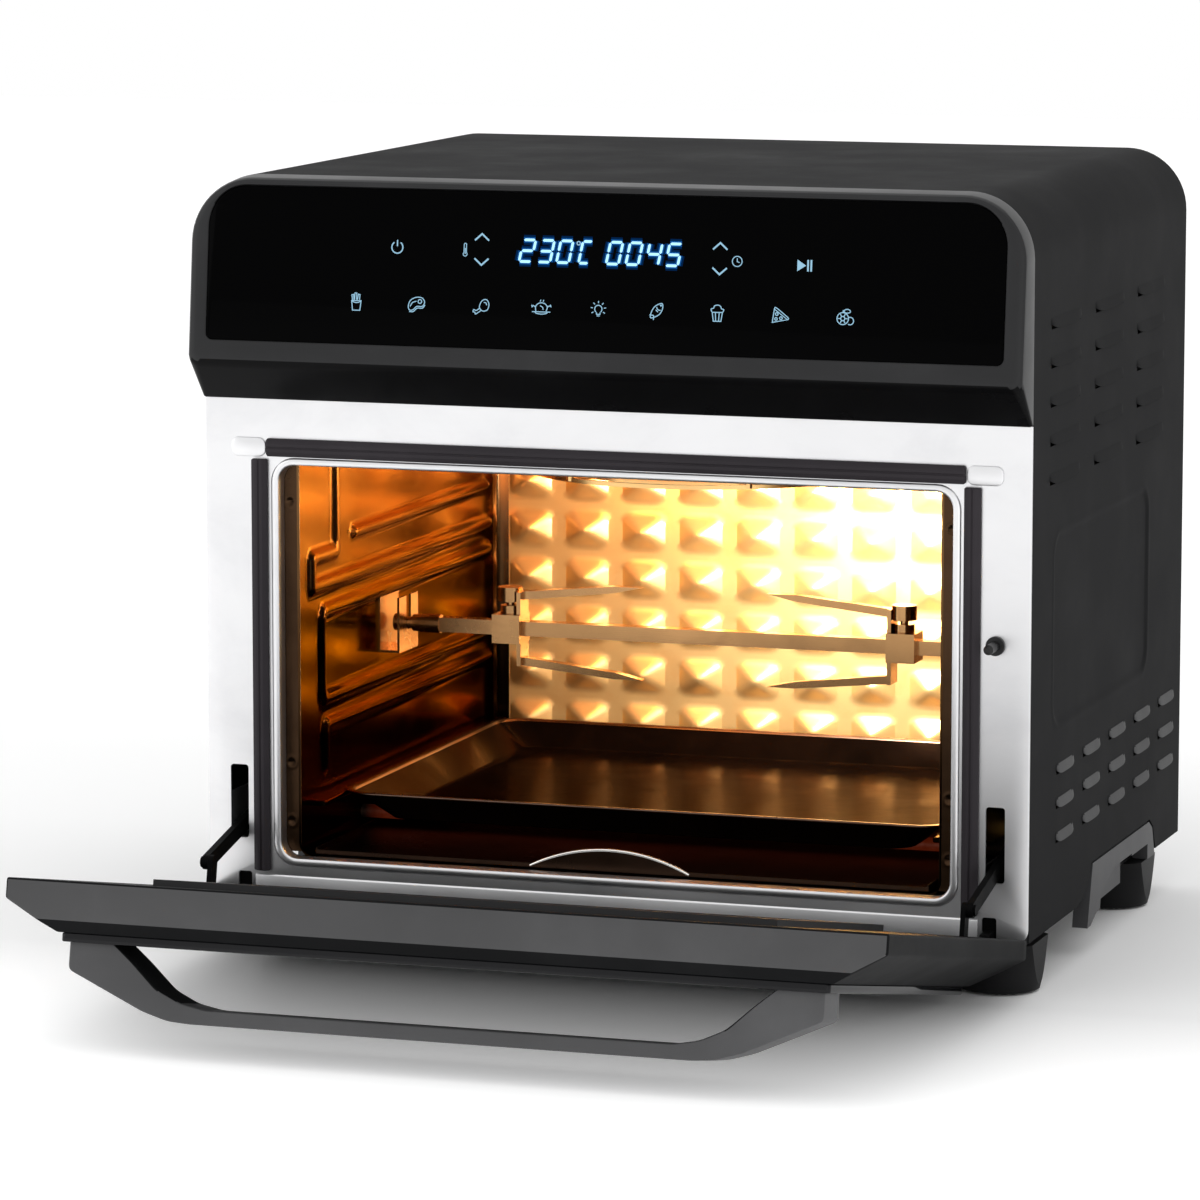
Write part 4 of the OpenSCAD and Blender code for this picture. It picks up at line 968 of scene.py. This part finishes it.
def key_shapes():
    """Quads of the touch keys: power, temperature, time and start, with their arrows."""
    x, v = -97.5, up_face(337)
    quads = stroke(arc(x, v, 2.7, 125, 415, 22), 0.55)
    quads += stroke([(x, v + 0.5), (x, v + 3.4)], 0.55)
    x, v = -64.4, up_face(337)
    glass = arc(x, v - 2.2, 0.95, 130, 410, 12) + [(x + 0.55, v + 2.2)] + arc(x, v + 2.2, 0.55, 0, 180, 6)
    quads += stroke(glass, 0.35, True)
    quads += stroke([(x, v - 2.2), (x, v + 0.6)], KEY_LINE)
    for cx, zs in ((-56.4, (342.7, 331.5)), (57.6, (341.6, 330.4))):
        for z, s in zip(zs, (1, -1)):
            v = up_face(z)
            quads += stroke([(cx - 3.4, v - s * 1.5), (cx, v + s * 1.5), (cx + 3.4, v - s * 1.5)], 0.75)
    x, v = 65.8, up_face(335)
    quads += stroke(ring(x, v, 2.3, 22), KEY_LINE, True)
    quads += stroke([(x, v + 1.4), (x, v - 0.1), (x + 1.1, v - 0.5)], KEY_LINE)
    x, v, half = 97.5, up_face(334), 2.6
    quads.append([(x - 3.4, v - half), (x + 0.7, v), (x - 3.4, v + half)])
    for x0, x1 in ((x + 1.2, x + 2.0), (x + 2.7, x + 3.5)):
        quads.append([(x0, v - half), (x1, v - half), (x1, v + half), (x0, v + half)])
    return quads


# read-out: italic seven-segment characters in two groups of four
READ_Z, TALL, WIDE, SLANT, BAR, GAP = 332.2, 9.9, 5.9, 0.19, 1.25, 0.22
GROUPS = ((-38.2, 9.0, ("2", "3", "0", "unit")), (3.6, 9.4, ("0", "0", "4", "5")))
GLOW, SPILL = 1.3, 3.2                    # how much wider than a bar its two rings of stray light are


def character_bars(x0, width, keys):
    """Lit bars of one character as (six-sided bar, its middle line)."""
    low = up_face(READ_Z)
    out = []
    for key in keys:
        a, b = (Vector((x * width, y * TALL / 2)) for x, y in SEGMENTS[key])
        d = (b - a).normalized()
        a, b, d = a + d * GAP, b - d * GAP, d * BAR / 2
        n = Vector((-d[1], d[0]))
        bar = [a, a + d - n, b - d - n, b, b - d + n, a + d + n]
        out.append([[(x0 + q[0] + q[1] * SLANT, low + q[1]) for q in points] for points in (bar, (a, b))])
    return out


def build_symbols():
    thin, digits, glow, spill = [], [], [], []
    for cx, shapes in zip(ICON_X, icon_shapes()):
        cy = up_face(ICON_Z)
        for points, closed in shapes:
            thin += stroke([(cx + x, cy + y) for x, y in points], ICON_LINE, closed)
    thin += key_shapes()
    for x0, pitch, characters in GROUPS:
        for k, character in enumerate(characters):
            x = x0 + k * pitch
            shift, width = 0, WIDE
            if character == "unit":       # a narrower C after its degree sign
                shift, width = 1.6, WIDE * 0.8
                thin += stroke(ring(x + 1.4, up_face(READ_Z) + TALL - 0.9, 0.8, 12), 0.45, True)
            for bar, middle in character_bars(x + shift, width, LIT[character]):
                digits.append(bar)
                glow += stroke(middle, BAR + GLOW)
                spill += stroke(middle, BAR + SPILL)
    for name, polygons, front, key in (("panel_symbols", thin, INK, "symbol"),
                                       ("panel_digits", digits, INK, "digit"),
                                       ("panel_digit_glow", glow, INK + 0.04, "glow"),
                                       ("panel_digit_spill", spill, INK + 0.07, "spill")):
        ob = make(name, *plate(polygons, front), 0)
        recalc(ob)
        fit(ob, key, "oven", "control_glass")


build_symbols()


# ------------------------------------------------------------------ steel front

WINDOW = (-163.0, 163.0, 45.5, 232.0)     # x, x, z, z of the opening
SLOT_X, SLOT_Z0, SLOT_Z1 = 184.0, BASE_Z + 27, BASE_Z + 62
BRACKET_X, HINGE_NOTCH = 181.5, 3.4       # middle and half width of the cuts for the hinges
FLANGE_X = HALF_W - 2.0
PAD_X = 178.0
SWITCH = (183.5, BASE_Z + 136)
FRONT_CUT = (FRONT_Y - 3, FRONT_Y + 4)    # cutters reach through the front between these


def facing_front(a, b, h):
    """Places an outline in the plane of the steel front, h deep."""
    return (a, h, b)


def upright(name, x0, x1, z0, z1, r, y0, y1, edge=0.0):
    """Plate facing the front, its edges rounded."""
    outline = rounded(x0, x1, z0, z1, r, 6)
    if not edge:
        return loft(name, [[(x, y, z) for x, z in outline] for y in (y0, y1)], smooth=0)
    return prism(name, outline, facing_front, y0, y1, edge)


def build_fascia():
    """Sheet with its rolled lip round the window, pads, side returns and folded foot."""
    low, high = FASCIA_LOW, FASCIA_HIGH
    sheet = prism("fascia_sheet", rounded(low[0], high[0], BASE_Z, high[2], (6, 4, 4, 6), 6),
                  facing_front, FRONT_Y, FRONT_Y + 1.2, 0.35)
    x0, x1, z0, z1 = WINDOW
    cutters = [upright("c", x0 - 2, x1 + 2, z0 - 2, z1 + 2, 10, *FRONT_CUT)]
    for s in (-1, 1):
        # slot for the stay, notch for the hinge, and a corner cleared for the head
        for x, half, low_z, high_z, r in ((SLOT_X, 4.5, SLOT_Z0, SLOT_Z1, 1.6),
                                          (BRACKET_X, HINGE_NOTCH, BASE_Z - 3, BASE_Z + 11, 1.2),
                                          (HALF_W, 1.4, HEAD_Z, HEAD_Z + 12, 0.2)):
            cutters.append(upright("c", s * x - half, s * x + half, low_z, high_z, r, *FRONT_CUT))
    cutters.append(turned("c", [(-4, 2.9), (4, 2.9)], (SWITCH[0], FRONT_Y, SWITCH[1]), "Y", 24, 0))
    cut(sheet, cutters)

    def frame_loop(grow, y, r):
        return [(x, y, z) for x, z in rounded(x0 - grow, x1 + grow, z0 - grow * 1.05, z1 + grow * 0.9,
                                              r, 8)]
    lip = loft("lip", [
        frame_loop(3.9, FRONT_Y + 0.5, 11.5), frame_loop(3.9, FRONT_Y - 0.1, 11.5),
        frame_loop(3.7, FRONT_Y - 0.55, 11.4), frame_loop(3.1, FRONT_Y - 0.95, 11),
        frame_loop(2.3, FRONT_Y - 1.15, 10.4), frame_loop(1.4, FRONT_Y - 1.2, 9.6),
        frame_loop(0.6, FRONT_Y - 1.05, 8.6), frame_loop(0.15, FRONT_Y - 0.7, 8.2),
        frame_loop(0.0, FRONT_Y - 0.2, 8), frame_loop(0.0, CAV_Y0 - 0.4, 8),
        frame_loop(0.5, CAV_Y0, 8.5), frame_loop(1.0, CAV_Y0, 9), frame_loop(1.0, FRONT_Y + 0.5, 9)],
        closed=True, smooth=50)
    parts = [lip]
    # pads at the ends of the top seal, and the returns at the sides
    for s in (-1, 1):
        parts.append(prism("pad", rounded(s * PAD_X - 8.6, s * PAD_X + 8.6, 235.6, 244.6, 3.5, 6),
                           facing_front, FRONT_Y - 1.0, FRONT_Y + 0.6, 0.7, 50))
        parts.append(upright("fold", s * FLANGE_X - 0.6, s * FLANGE_X + 0.6, BASE_Z + 8, HEAD_Z,
                             0.3, FRONT_Y + 0.6, FRONT_Y + 12))
    # section, as (y, z), of the step that runs between the hinges
    step = [(0.6, 0), (-0.6, 0), (-0.6, 9.2), (-0.45, 9.7), (-0.1, 10), (0.6, 10)]
    end = BRACKET_X - HINGE_NOTCH - 2
    parts.append(loft("step", [[(x, FRONT_Y + y, BASE_Z + z) for y, z in step] for x in (-end, end)],
                      smooth=30))
    steel = join("fascia", [sheet] + parts, 40)
    fit(steel, "steel", "oven", "steel", "front_fascia")
    # painted shade: the sideways faces at the outer edges of the steel front get the dark copy of the steel
    repaint(steel, "shaded_steel_edge",
            lambda p: abs(p.normal[0]) > 0.4 and abs(p.center[0]) > (high[0] - 1) * MM)


build_fascia()


def seal_profile(half, out):
    """Section of a strip: across, outwards."""
    return fillet([(-half, 0.02), (half, 0.02), (half, out - 1.2), (half - 2.2, out), (0.6, out),
                   (0, out - 0.7), (-0.6, out), (-half + 2.2, out), (-half, out - 1.2)],
                  [0, 0, 0.5, 0.8, 0.25, 0.25, 0.25, 0.8, 0.5], 3)


def build_seals():
    for node, run, end in (("seal_left", 2, 0.5), ("seal_right", 2, 0.5), ("seal_top", 0, 0.9)):
        # the strip runs along axis run, and its ends are rounded over end
        low, high = box(node)
        across = 2 - run
        middle, half = (low[across] + high[across]) / 2, (high[across] - low[across]) / 2
        out = FRONT_Y - low[1]
        loops = []
        for at, d in ((low[run], end), (low[run] + end, 0), (high[run] - end, 0), (high[run], end)):
            loop = []
            for a, b in seal_profile(half, out):
                point = [0, FRONT_Y - b * (1 - d / out), 0]
                point[run], point[across] = at, middle + a * (1 - d / half)
                loop.append(tuple(point))
            loops.append(loop)
        fit(loft(node + "_strip", loops, smooth=40), "seal", "oven", "seal", node)


build_seals()


# ------------------------------------------------------------------ cavity

WALL_LINES = [                            # beads pressed into the side walls: ends (y, z), half width
    (((-72, 191), (118, 191)), 2.6), (((-128, 171), (122, 171)), 3.4),
    (((-128, 171), (-128, 185)), 3.4), (((-128, 185), (-97, 185)), 3.2), (((-96, 185), (-96, 226)), 3.4),
    (((-113, 158), (122, 158)), 3.2), (((-115, 155), (-115, 119)), 3.2), (((-113, 116), (122, 116)), 3.2),
    (((-110, 103), (122, 103)), 3.2), (((-112, 100), (-112, 84)), 3.2)]
BEAD_LIFT = 2.5
SHEET = 0.9                               # thickness of the cavity's sheets
SOFT_R = 7                                # radius of the corners between the walls
HEATER_R = 74
WELDS = (62, 90, 214)                     # heights of the spot welds beside the window
RUNNER_Z = box("baking_tray")[1][2] - 1.3


def wall_height(y, z):
    h = 0.0
    for (a, b), r in WALL_LINES:
        d = line_distance(y, z, a, b)
        h = max(h, BEAD_LIFT * smoothstep(r + 1.6, r * 0.35, d))
    return h


def build_side_walls():
    ys = spaced((CAV_Y0, CAV_Y1, 1.7))
    zs = spaced((CAV_Z0, CAV_Z1, 1.6))
    lens_low, lens_high = box("lamp_lens")
    lens = ((lens_low[1] + lens_high[1]) / 2, (lens_low[2] + lens_high[2]) / 2)
    for s, node in ((-1, "cavity_side_left"), (1, "cavity_side_right")):
        def place(y, z, h):
            return (s * (CAV_X - h), y, z)

        def height(y, z):
            h = wall_height(y, z)
            # the sheet turns through a soft corner into the back, the floor and the roof
            for gap in (CAV_Y1 - y, z - CAV_Z0, CAV_Z1 - z):
                if gap < SOFT_R:
                    h = max(h, SOFT_R - math.sqrt(max(0, SOFT_R ** 2 - (SOFT_R - gap) ** 2)))
            return min(h, SOFT_R)

        def skip(y, z):
            if s < 0:
                return False
            return (math.hypot(y - SPIT[1], z - SPIT[2]) < 8.6
                    or math.hypot(y - lens[0], z - lens[1]) < 17)

        wall = field(node + "_sheet", ys, zs, place, height, skip, flip=s > 0, smooth=60)
        wall = thicken(wall, SHEET, 60)
        runner = fillet([(CAV_X + 0.3, RUNNER_Z - 2.6), (CAV_X + 0.3, RUNNER_Z), (CAV_X - 7, RUNNER_Z),
                         (CAV_X - 7, RUNNER_Z - 2.6)], [0, 0, 1.0, 1.0], 3)
        bar = loft("runner", [[(s * x, y, z) for x, z in runner]
                              for y in (CAV_Y0 + 14, CAV_Y1 - 4)], smooth=40)
        fit(join(node + "_liner", [wall, bar], 60), "wall", "oven", "liner", node)
        # front edge of the liner: a flat strip dimpled by spot welds
        x0, x1 = CAV_X - 0.2, CAV_X + 7.9
        us = spaced((x0, x1, 0.6))
        vs = spaced((WINDOW[2] + 2, WINDOW[3] + 2, 0.9))

        def front(u, v, h):
            return (s * u, CAV_Y0 + 0.05 - h, v)

        def dimple(u, v):
            near = min(math.hypot(u - CAV_X - 4.4, v - c) for c in WELDS)
            return -0.9 * smoothstep(2.0, 0.6, near) + 0.25 * math.exp(-((near - 2.4) / 0.6) ** 2)

        strip = thicken(field("strip", us, vs, front, dimple, flip=s < 0, smooth=60), 0.8, 60)
        strip.name = node + "_flange"
        fit(strip, "flange", "oven", "liner")


def build_back():
    """The rear wall, pressed into rows of blunt pyramids."""
    pitch_x, pitch_z, tall, rib = 30.4, 24.5, 6.9, 3.4
    x_start, z_start, n_x, n_z = -5 * pitch_x, CAV_Z0 + 13, 10, 7

    def edges_and_ridges(start, pitch, count):
        """Stops that put grid lines on the edges and the ridges of the pyramids."""
        at = [start + k * pitch / 2 for k in range(2 * count + 1)]
        return [(x, x + 0.01, 1) for x in at]

    xs = spaced((-CAV_X, CAV_X, 1.9), *edges_and_ridges(x_start, pitch_x, n_x))
    zs = spaced((CAV_Z0, CAV_Z1, 1.75), *edges_and_ridges(z_start, pitch_z, n_z))

    def height(x, z):
        u, v = (x - x_start) / pitch_x, (z - z_start) / pitch_z
        if not (0 < u < n_x and 0 < v < n_z):
            return 0.0
        a = abs(u % 1 - 0.5) * pitch_x / (pitch_x / 2 - rib)
        b = abs(v % 1 - 0.5) * pitch_z / (pitch_z / 2 - rib)
        d = 1 - (a ** 6 + b ** 6) ** (1 / 6)
        h, blunt = tall * max(0.0, d), tall * 0.86
        if h > blunt:
            h = blunt + 0.25 * (h - blunt)
        return h * smoothstep(0.0, 0.1, d)

    back = field("cavity_back_sheet", xs, zs, lambda x, z, h: (x, CAV_Y1 - h, z), height, smooth=28)
    back = thicken(back, SHEET, 28)
    fit(back, "liner", "oven", "liner", "cavity_back")


def build_roof_and_floor():
    roof = field("cavity_roof", spaced((-CAV_X, CAV_X, 4)), spaced((CAV_Y0, CAV_Y1, 4)),
                 lambda x, y, h: (x, y, CAV_Z1), lambda x, y: 0.0, flip=True)
    roof = thicken(roof, SHEET)
    # holes for the fan's shaft and for the two ends of the upper heater
    holes = [turned("c", [(-3, 5), (3, 5)], (FAN[0], FAN[1], CAV_Z1), "Z", 28, 0)]
    for a in map(math.radians, (60, 120)):
        end = (HEATER_R * math.cos(a), HEATER_R * math.sin(a), CAV_Z1)
        holes.append(turned("c", [(-3, 3.1), (3, 3.1)], end, "Z", 20, 0))
    cut(roof, holes)
    fit(roof, "liner", "oven", "liner", "cavity_top")

    def floor_height(x, y):
        d = rect_distance(x, y, -140, 140, CAV_Y0 + 16, CAV_Y1 - 14, 12)
        return -0.8 * smoothstep(1.5, -1.5, d)

    xs = spaced((-CAV_X, CAV_X, 6), (-146, -134, 1.0), (134, 146, 1.0))
    ys = spaced((CAV_Y0, CAV_Y1, 6), (CAV_Y0 + 10, CAV_Y0 + 22, 1.0), (CAV_Y1 - 20, CAV_Y1 - 8, 1.0))
    floor = field("cavity_floor_sheet", xs, ys,
                  lambda x, y, h: (x, y, CAV_Z0 + h - 0.05), floor_height)
    floor = thicken(floor, 0.8)
    fit(floor, "floor", "oven", "liner", "cavity_floor")


build_side_walls()
build_back()
build_roof_and_floor()


# ------------------------------------------------------------------ trays

def tray_loop(grow, z, r):
    """Grow is measured from the rim's outer edge."""
    end = grow * 0.55
    return [(x, y, z) for x, y in rounded(TRAY_LOW[0] - grow, TRAY_HIGH[0] + grow,
                                          TRAY_LOW[1] - end, TRAY_HIGH[1] + end, r, 10)]


def build_trays():
    z0, z1 = TRAY_LOW[2], TRAY_HIGH[2]
    # from the underside round the rim to the inside
    rows = [(-25, z0 + 0.05, 8), (-21.5, z0 + 0.2, 11), (-20, z0 + 1.2, 12), (-5.2, z1 - 1.9, 14),
            (-3.6, z1 - 1.2, 15), (-0.6, z1 - 1.2, 16), (-0.05, z1 - 0.8, 16.4), (0, z1 - 0.5, 16.5),
            (-0.3, z1 - 0.15, 16.3), (-0.9, z1, 16), (-3.2, z1, 14.6), (-4.2, z1 - 0.35, 14),
            (-5.0, z1 - 1.2, 13.6), (-19.2, z0 + 2.2, 11), (-21, z0 + 1.3, 10), (-24.5, z0 + 1.05, 8)]
    tray = loft("baking_tray_enamel", [tray_loop(g, z, r) for g, z, r in rows], smooth=45)
    fit(tray, "enamel", "tray", "enamel", "baking_tray")
    # painted highlight: the rim's top faces get the lighter enamel
    repaint(tray, "rim_highlight", lambda p: p.center[2] > (z1 - 1.3) * MM)
    # rolled edge along the arc of the crumb tray's pull
    low = box("crumb_tray")[0]
    radius, reach, centre_x, steps = 85.0, 10.0, -4.0, 40
    half = math.acos((radius - reach + 0.6) / radius)
    points = []
    for k in range(steps + 1):
        a = -half + 2 * half * k / steps
        points.append((centre_x + radius * math.sin(a), low[1] + 0.4,
                       low[2] + reach - radius * (1 - math.cos(a))))
    bead = tube("crumb_tray_pull_edge", points, 0.85, 10)
    fit(bead, "pull", "crumbs", "crumb_steel")


build_trays()


# ------------------------------------------------------------------ lamp

def build_lens():
    """Ribbed glass in front of the bulb."""
    low, high = box("lamp_lens")
    cy, cz, r = (low[1] + high[1]) / 2, (low[2] + high[2]) / 2, (high[1] - low[1]) / 2
    profile = [(high[0], r - 3.5), (CAV_X, r - 3.4), (CAV_X, r), (CAV_X - 1.6, r), (CAV_X - 2.2, r - 0.6)]
    for k in range(7):                    # moulded rings in the face
        edge = r - 1.6 - k * 2.2
        profile += [(low[0] + 0.05, edge), (low[0] + 0.7, edge - 0.9)]
    profile.append((low[0] + 0.1, 1.2))
    lens = turned("lamp_lens_ribbed", profile, (0, cy, cz), "X", 48, 50)
    fit(lens, "lens", "oven", "lens", "lamp_lens")


build_lens()


# ------------------------------------------------------------------ door

DOOR_LOW, DOOR_HIGH = -4.0, 233.0
DOOR_T, SIDE_T, FACE_W, HALF_DOOR = 22.5, 9.0, 176.0, 200.0
PLATE_T = 4.0


def door_section(t_max):
    """Section across the door, clipped at t_max; x, t, anticlockwise seen with t upwards."""
    if t_max >= DOOR_T:
        x = FACE_W
    else:
        x = FACE_W + (HALF_DOOR - FACE_W) * (DOOR_T - t_max) / (DOOR_T - SIDE_T)
    points = [(-HALF_DOOR, 0), (HALF_DOOR, 0), (HALF_DOOR, min(SIDE_T, t_max)), (x, t_max), (-x, t_max),
              (-HALF_DOOR, min(SIDE_T, t_max))]
    return fillet(points, [1.2, 1.2, 2.0, 2.0, 2.0, 2.0], 4)


def build_door_frame():
    # place along the door, height of its face there, and how far the section is drawn in
    rows = [(DOOR_LOW, 14.2, 0.9), (DOOR_LOW + 0.3, 14.4, 0.3), (DOOR_LOW + 1.0, 15.2, 0.0), (3.2, 21.9, 0),
            (4.6, DOOR_T, 0), (DOOR_HIGH - 4.6, DOOR_T, 0), (DOOR_HIGH - 4.0, DOOR_T - 0.25, 0),
            (DOOR_HIGH - 0.9, 18.0, 0), (DOOR_HIGH - 0.3, 17.6, 0.3), (DOOR_HIGH, 17.2, 0.9)]
    loops = []
    for s, t_max, d in rows:
        section = door_section(t_max)
        if d:
            section = inset(section, d)
        loops.append([on_door(x, s, t) for x, t in section])
    door = loft("door_frame_coated", loops, smooth=26)

    def slab(x0, x1, s0, s1, t0, t1, r=3):
        outline = rounded(x0, x1, s0, s1, r, 5)
        return loft("c", [[on_door(x, s, t) for x, s in outline] for t in (t0, t1)], smooth=0)
    # the window with its rebate, and the notches for the hinges
    cutters = [slab(-138, 138, 40, 198, -2, DOOR_T + 2), slab(-143, 143, 34, 204, -2, 3)]
    for s in (-1, 1):
        cutters.append(slab(s * BRACKET_X - HINGE_NOTCH, s * BRACKET_X + HINGE_NOTCH, DOOR_LOW - 2, 7.5,
                            -2, 11, 1))
    cut(door, cutters, 26)
    fit(door, "door", "door", "coat", "door_frame")
    # painted shade: the door's sides and its broad faces get the near-black copy of its coat; only the end
    # faces keep the lighter one
    repaint(door, "painted_shade", lambda p: abs(p.normal[0]) > 0.3 or abs(p.normal[2]) > 0.3)


def build_outer_plate():
    """Dark glass that covers the door's face."""
    low, high, w = 8.0, DOOR_HIGH - 5, 174.5
    outline = rounded(-w, w, low, high, 2, 4)
    plate_ob = prism("door_outer_plate", outline, on_door, DOOR_T, DOOR_T + PLATE_T, 0.7)
    fit(plate_ob, "door_glass", "door", "door_glass", "door_outer_glass")


HANDLE_LOW, HANDLE_HIGH = 201.0, 225.0
BASE_T = DOOR_T + PLATE_T
REACH = 58.7


def soft_line(points, radii, steps=5):
    """Open line with rounded corners."""
    out = [points[0]]
    for a, p, b, r in zip(points, points[1:], points[2:], radii):
        a, p, b = Vector(a), Vector(p), Vector(b)
        out += bend(p + (a - p).normalized() * r, p, p + (b - p).normalized() * r, steps)
    return out + [points[-1]]


def build_handle():
    """Band bent into an angular loop: an outer and an inner line, joined by a rounded section."""
    inner = REACH - 6.6
    outside = soft_line([(171.5, BASE_T), (171.5, 38.5), (136, REACH - 4.2), (124, REACH - 0.7),
                         (114, REACH), (0, REACH)], [2.2, 3.0, 3.0, 3.0])
    inside = soft_line([(150, BASE_T), (141.5, 33.4), (129, inner - 7.4), (118, inner - 2.3),
                        (106, inner), (0, inner)], [2.2, 3.0, 3.0, 3.0])
    pairs = list(zip(outside, inside))
    pairs += [((-a[0], a[1]), (-b[0], b[1])) for a, b in pairs[-2::-1]]
    mid, deep, edge = (HANDLE_LOW + HANDLE_HIGH) / 2, (HANDLE_HIGH - HANDLE_LOW) / 2, 1.3
    loops = []
    for (ox, ot), (nx, nt) in pairs:
        across = math.hypot(ox - nx, ot - nt)
        loop = []
        for u, s in rounded(0, across, -deep, deep, edge, 4):
            k = u / across
            loop.append(on_door(nx + (ox - nx) * k, mid + s, nt + (ot - nt) * k))
        loops.append(loop)
    handle = loft("door_handle_loop", loops, smooth=26)
    fit(handle, "handle", "door", "handle_plastic", "door_handle")
    # the side of the band that faces into the loop lies in its own shade
    repaint(handle, "painted_shade", lambda p: p.normal[0] * p.center[0] < -0.3 * abs(p.center[0]))


build_door_frame()
build_outer_plate()
build_handle()


# ------------------------------------------------------------------ nodes whose CAD mesh is kept

KEPT = (                                  # material, width and steps of the worn edge, nodes
    ("spit", 0.45, 2, "spit_rod drive_socket fork_left fork_right"),
    ("bracket", 0.4, 2, "spit_bracket"),
    ("heater", 0, 0, "lower_elements upper_element"),
    ("guard", 0.3, 2, "element_guard"),
    ("fan", 0.3, 2, "convection_fan"),
    ("ceramic", 0.6, 2, "lamp_holder"),
    ("bulb", 0, 0, "lamp_bulb"),
    ("probe", 0, 0, "temperature_probe"),
    ("board", 0.2, 2, "display_board power_board"),
    ("zinc", 0.3, 2, "heat_shield stay_guide_left stay_guide_right fan_motor rotisserie_motor"),
    ("zinc", 0.3, 2, "thermal_cutout"),
    ("coat", 0.3, 2, "rear_cover"),
    ("base", 0.4, 2, "base_plate"),
    ("switch", 0.6, 2, "cord_gland"),
    ("switch", 0.5, 2, "door_switch"),
    ("switch", 0.35, 3, "switch_plunger"),
    ("foot", 1.2, 3, "foot_front_left foot_front_right foot_rear_left foot_rear_right"),
    ("rubber", 0.3, 2, "foot_pads"),
    ("grip", 1.3, 3, "side_grip_left side_grip_right"),
    ("crumb", 0.3, 2, "crumb_tray"),
    ("inner_panel", 0.5, 2, "door_inner_panel"),
    ("inner_glass", 0.3, 2, "door_inner_glass"),
    ("screw", 0.3, 2, "housing_screws handle_screws hinge_pins"),
    ("hinge", 0.3, 2, "stay_lugs"),
    ("hinge", 0.5, 2, "stay_left stay_right hinge_bracket_left hinge_bracket_right"),
)

for key, edge, steps, nodes in KEPT:
    for node in nodes.split():
        keep(node, key, edge, steps)


# ------------------------------------------------------------------ floor, light and camera

def build_stage():
    size = 6.0
    mesh = bpy.data.meshes.new("studio_floor")
    mesh.from_pydata([(-size, -size, 0), (size, -size, 0), (size, size, 0), (-size, size, 0)], [],
                     [(0, 1, 2, 3)])
    floor = bpy.data.objects.new("studio_floor", mesh)
    bpy.context.scene.collection.objects.link(floor)
    f = Finish("studio_paper", (0.97, 0.97, 0.97), 0.7, **{"Specular IOR Level": 0.2})
    f.bump(f.noise(900, detail=2), 0.02)
    split = f.node("SeparateXYZ")
    f.link(f.coord, split.inputs[0])
    # painted light: the paper gives off light of its own, rising from nothing at the oven's front to full
    # strength beyond the open door, so the shadow of the door stays light; far behind the oven it glows a
    # little as well
    f.shader.inputs["Emission Color"].default_value = (1, 1, 1, 1)
    glow = f.node("Math", operation="ADD")
    f.link(f.span(split.outputs["Y"], 0.34, 0.0, -0.34, -0.16), glow.inputs[0])
    f.link(f.span(split.outputs["Y"], 0.0, 0.12, 0.35, 1.0), glow.inputs[1])
    f.link(glow.outputs[0], f.shader.inputs["Emission Strength"])
    mesh.materials.append(f.material)
    world = bpy.data.worlds.new("studio")
    world.use_nodes = True
    world.node_tree.nodes["Background"].inputs["Color"].default_value = (1.0, 1.0, 1.0, 1)
    world.node_tree.nodes["Background"].inputs["Strength"].default_value = 1.0
    bpy.context.scene.world = world


def lamp(name, kind, place, power, colour=(1, 1, 1), aim=None, **values):
    data = bpy.data.lights.new(name, kind)
    data.energy, data.color = power, colour
    for k, v in values.items():
        setattr(data, k, v)
    ob = bpy.data.objects.new(name, data)
    bpy.context.scene.collection.objects.link(ob)
    ob.location = place
    if aim is not None:
        ob.rotation_euler = (Vector(aim) - Vector(place)).to_track_quat("-Z", "Y").to_euler()
    ob.visible_camera = False
    return ob


def build_light():
    lamp("overhead", "AREA", (-0.3, -0.5, 2.4), 4, aim=(0, 0, 0.1), size=2.2)
    lamp("left_fill", "AREA", (-2.2, -1.6, 1.0), 6.5, aim=(0, -0.2, 0.1), size=1.4)
    lamp("right_fill", "AREA", (1.5, -2.2, 0.5), 2.5, aim=(0.15, -0.15, 0.1), size=1.2)
    lens_low, lens_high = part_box("lamp_lens")
    middle = (lens_low + lens_high) / 2
    lamp("oven_lamp", "POINT", (lens_low[0] - 0.014, middle[1], middle[2]), 0.3, (1.0, 0.66, 0.27),
         shadow_soft_size=0.010)
    # small lamps under the roof stand in for the light that the heaters and the walls throw
    amber = (1.0, 0.42, 0.10)
    lamp("oven_back", "AREA", (0.06, 0.03, 0.21), 1.7, (1.0, 0.93, 0.82),
         aim=(0.07, 0.135, 0.155), size=0.09)
    lamp("oven_middle", "AREA", (-0.07, 0.03, 0.21), 0.15, amber, aim=(-0.08, 0.135, 0.17), size=0.09)
    lamp("oven_left", "AREA", (-0.03, 0.0, 0.21), 0.15, amber, aim=(-0.156, 0.06, 0.18), size=0.08)


def build_camera():
    data = bpy.data.cameras.new("camera")
    data.lens, data.sensor_width = 180.8, 36.0
    data.clip_start, data.clip_end = 0.05, 60
    camera = bpy.data.objects.new("camera", data)
    bpy.context.scene.collection.objects.link(camera)
    camera.location = (0.8634, -2.7568, 0.5713)
    target = Vector((-0.0514, -0.0100, 0.1541))
    camera.rotation_euler = (target - camera.location).to_track_quat("-Z", "Y").to_euler()
    bpy.context.scene.camera = camera


build_stage()
build_light()
build_camera()
bpy.context.scene.view_settings.view_transform = "Standard"

bpy.context.view_layer.update()
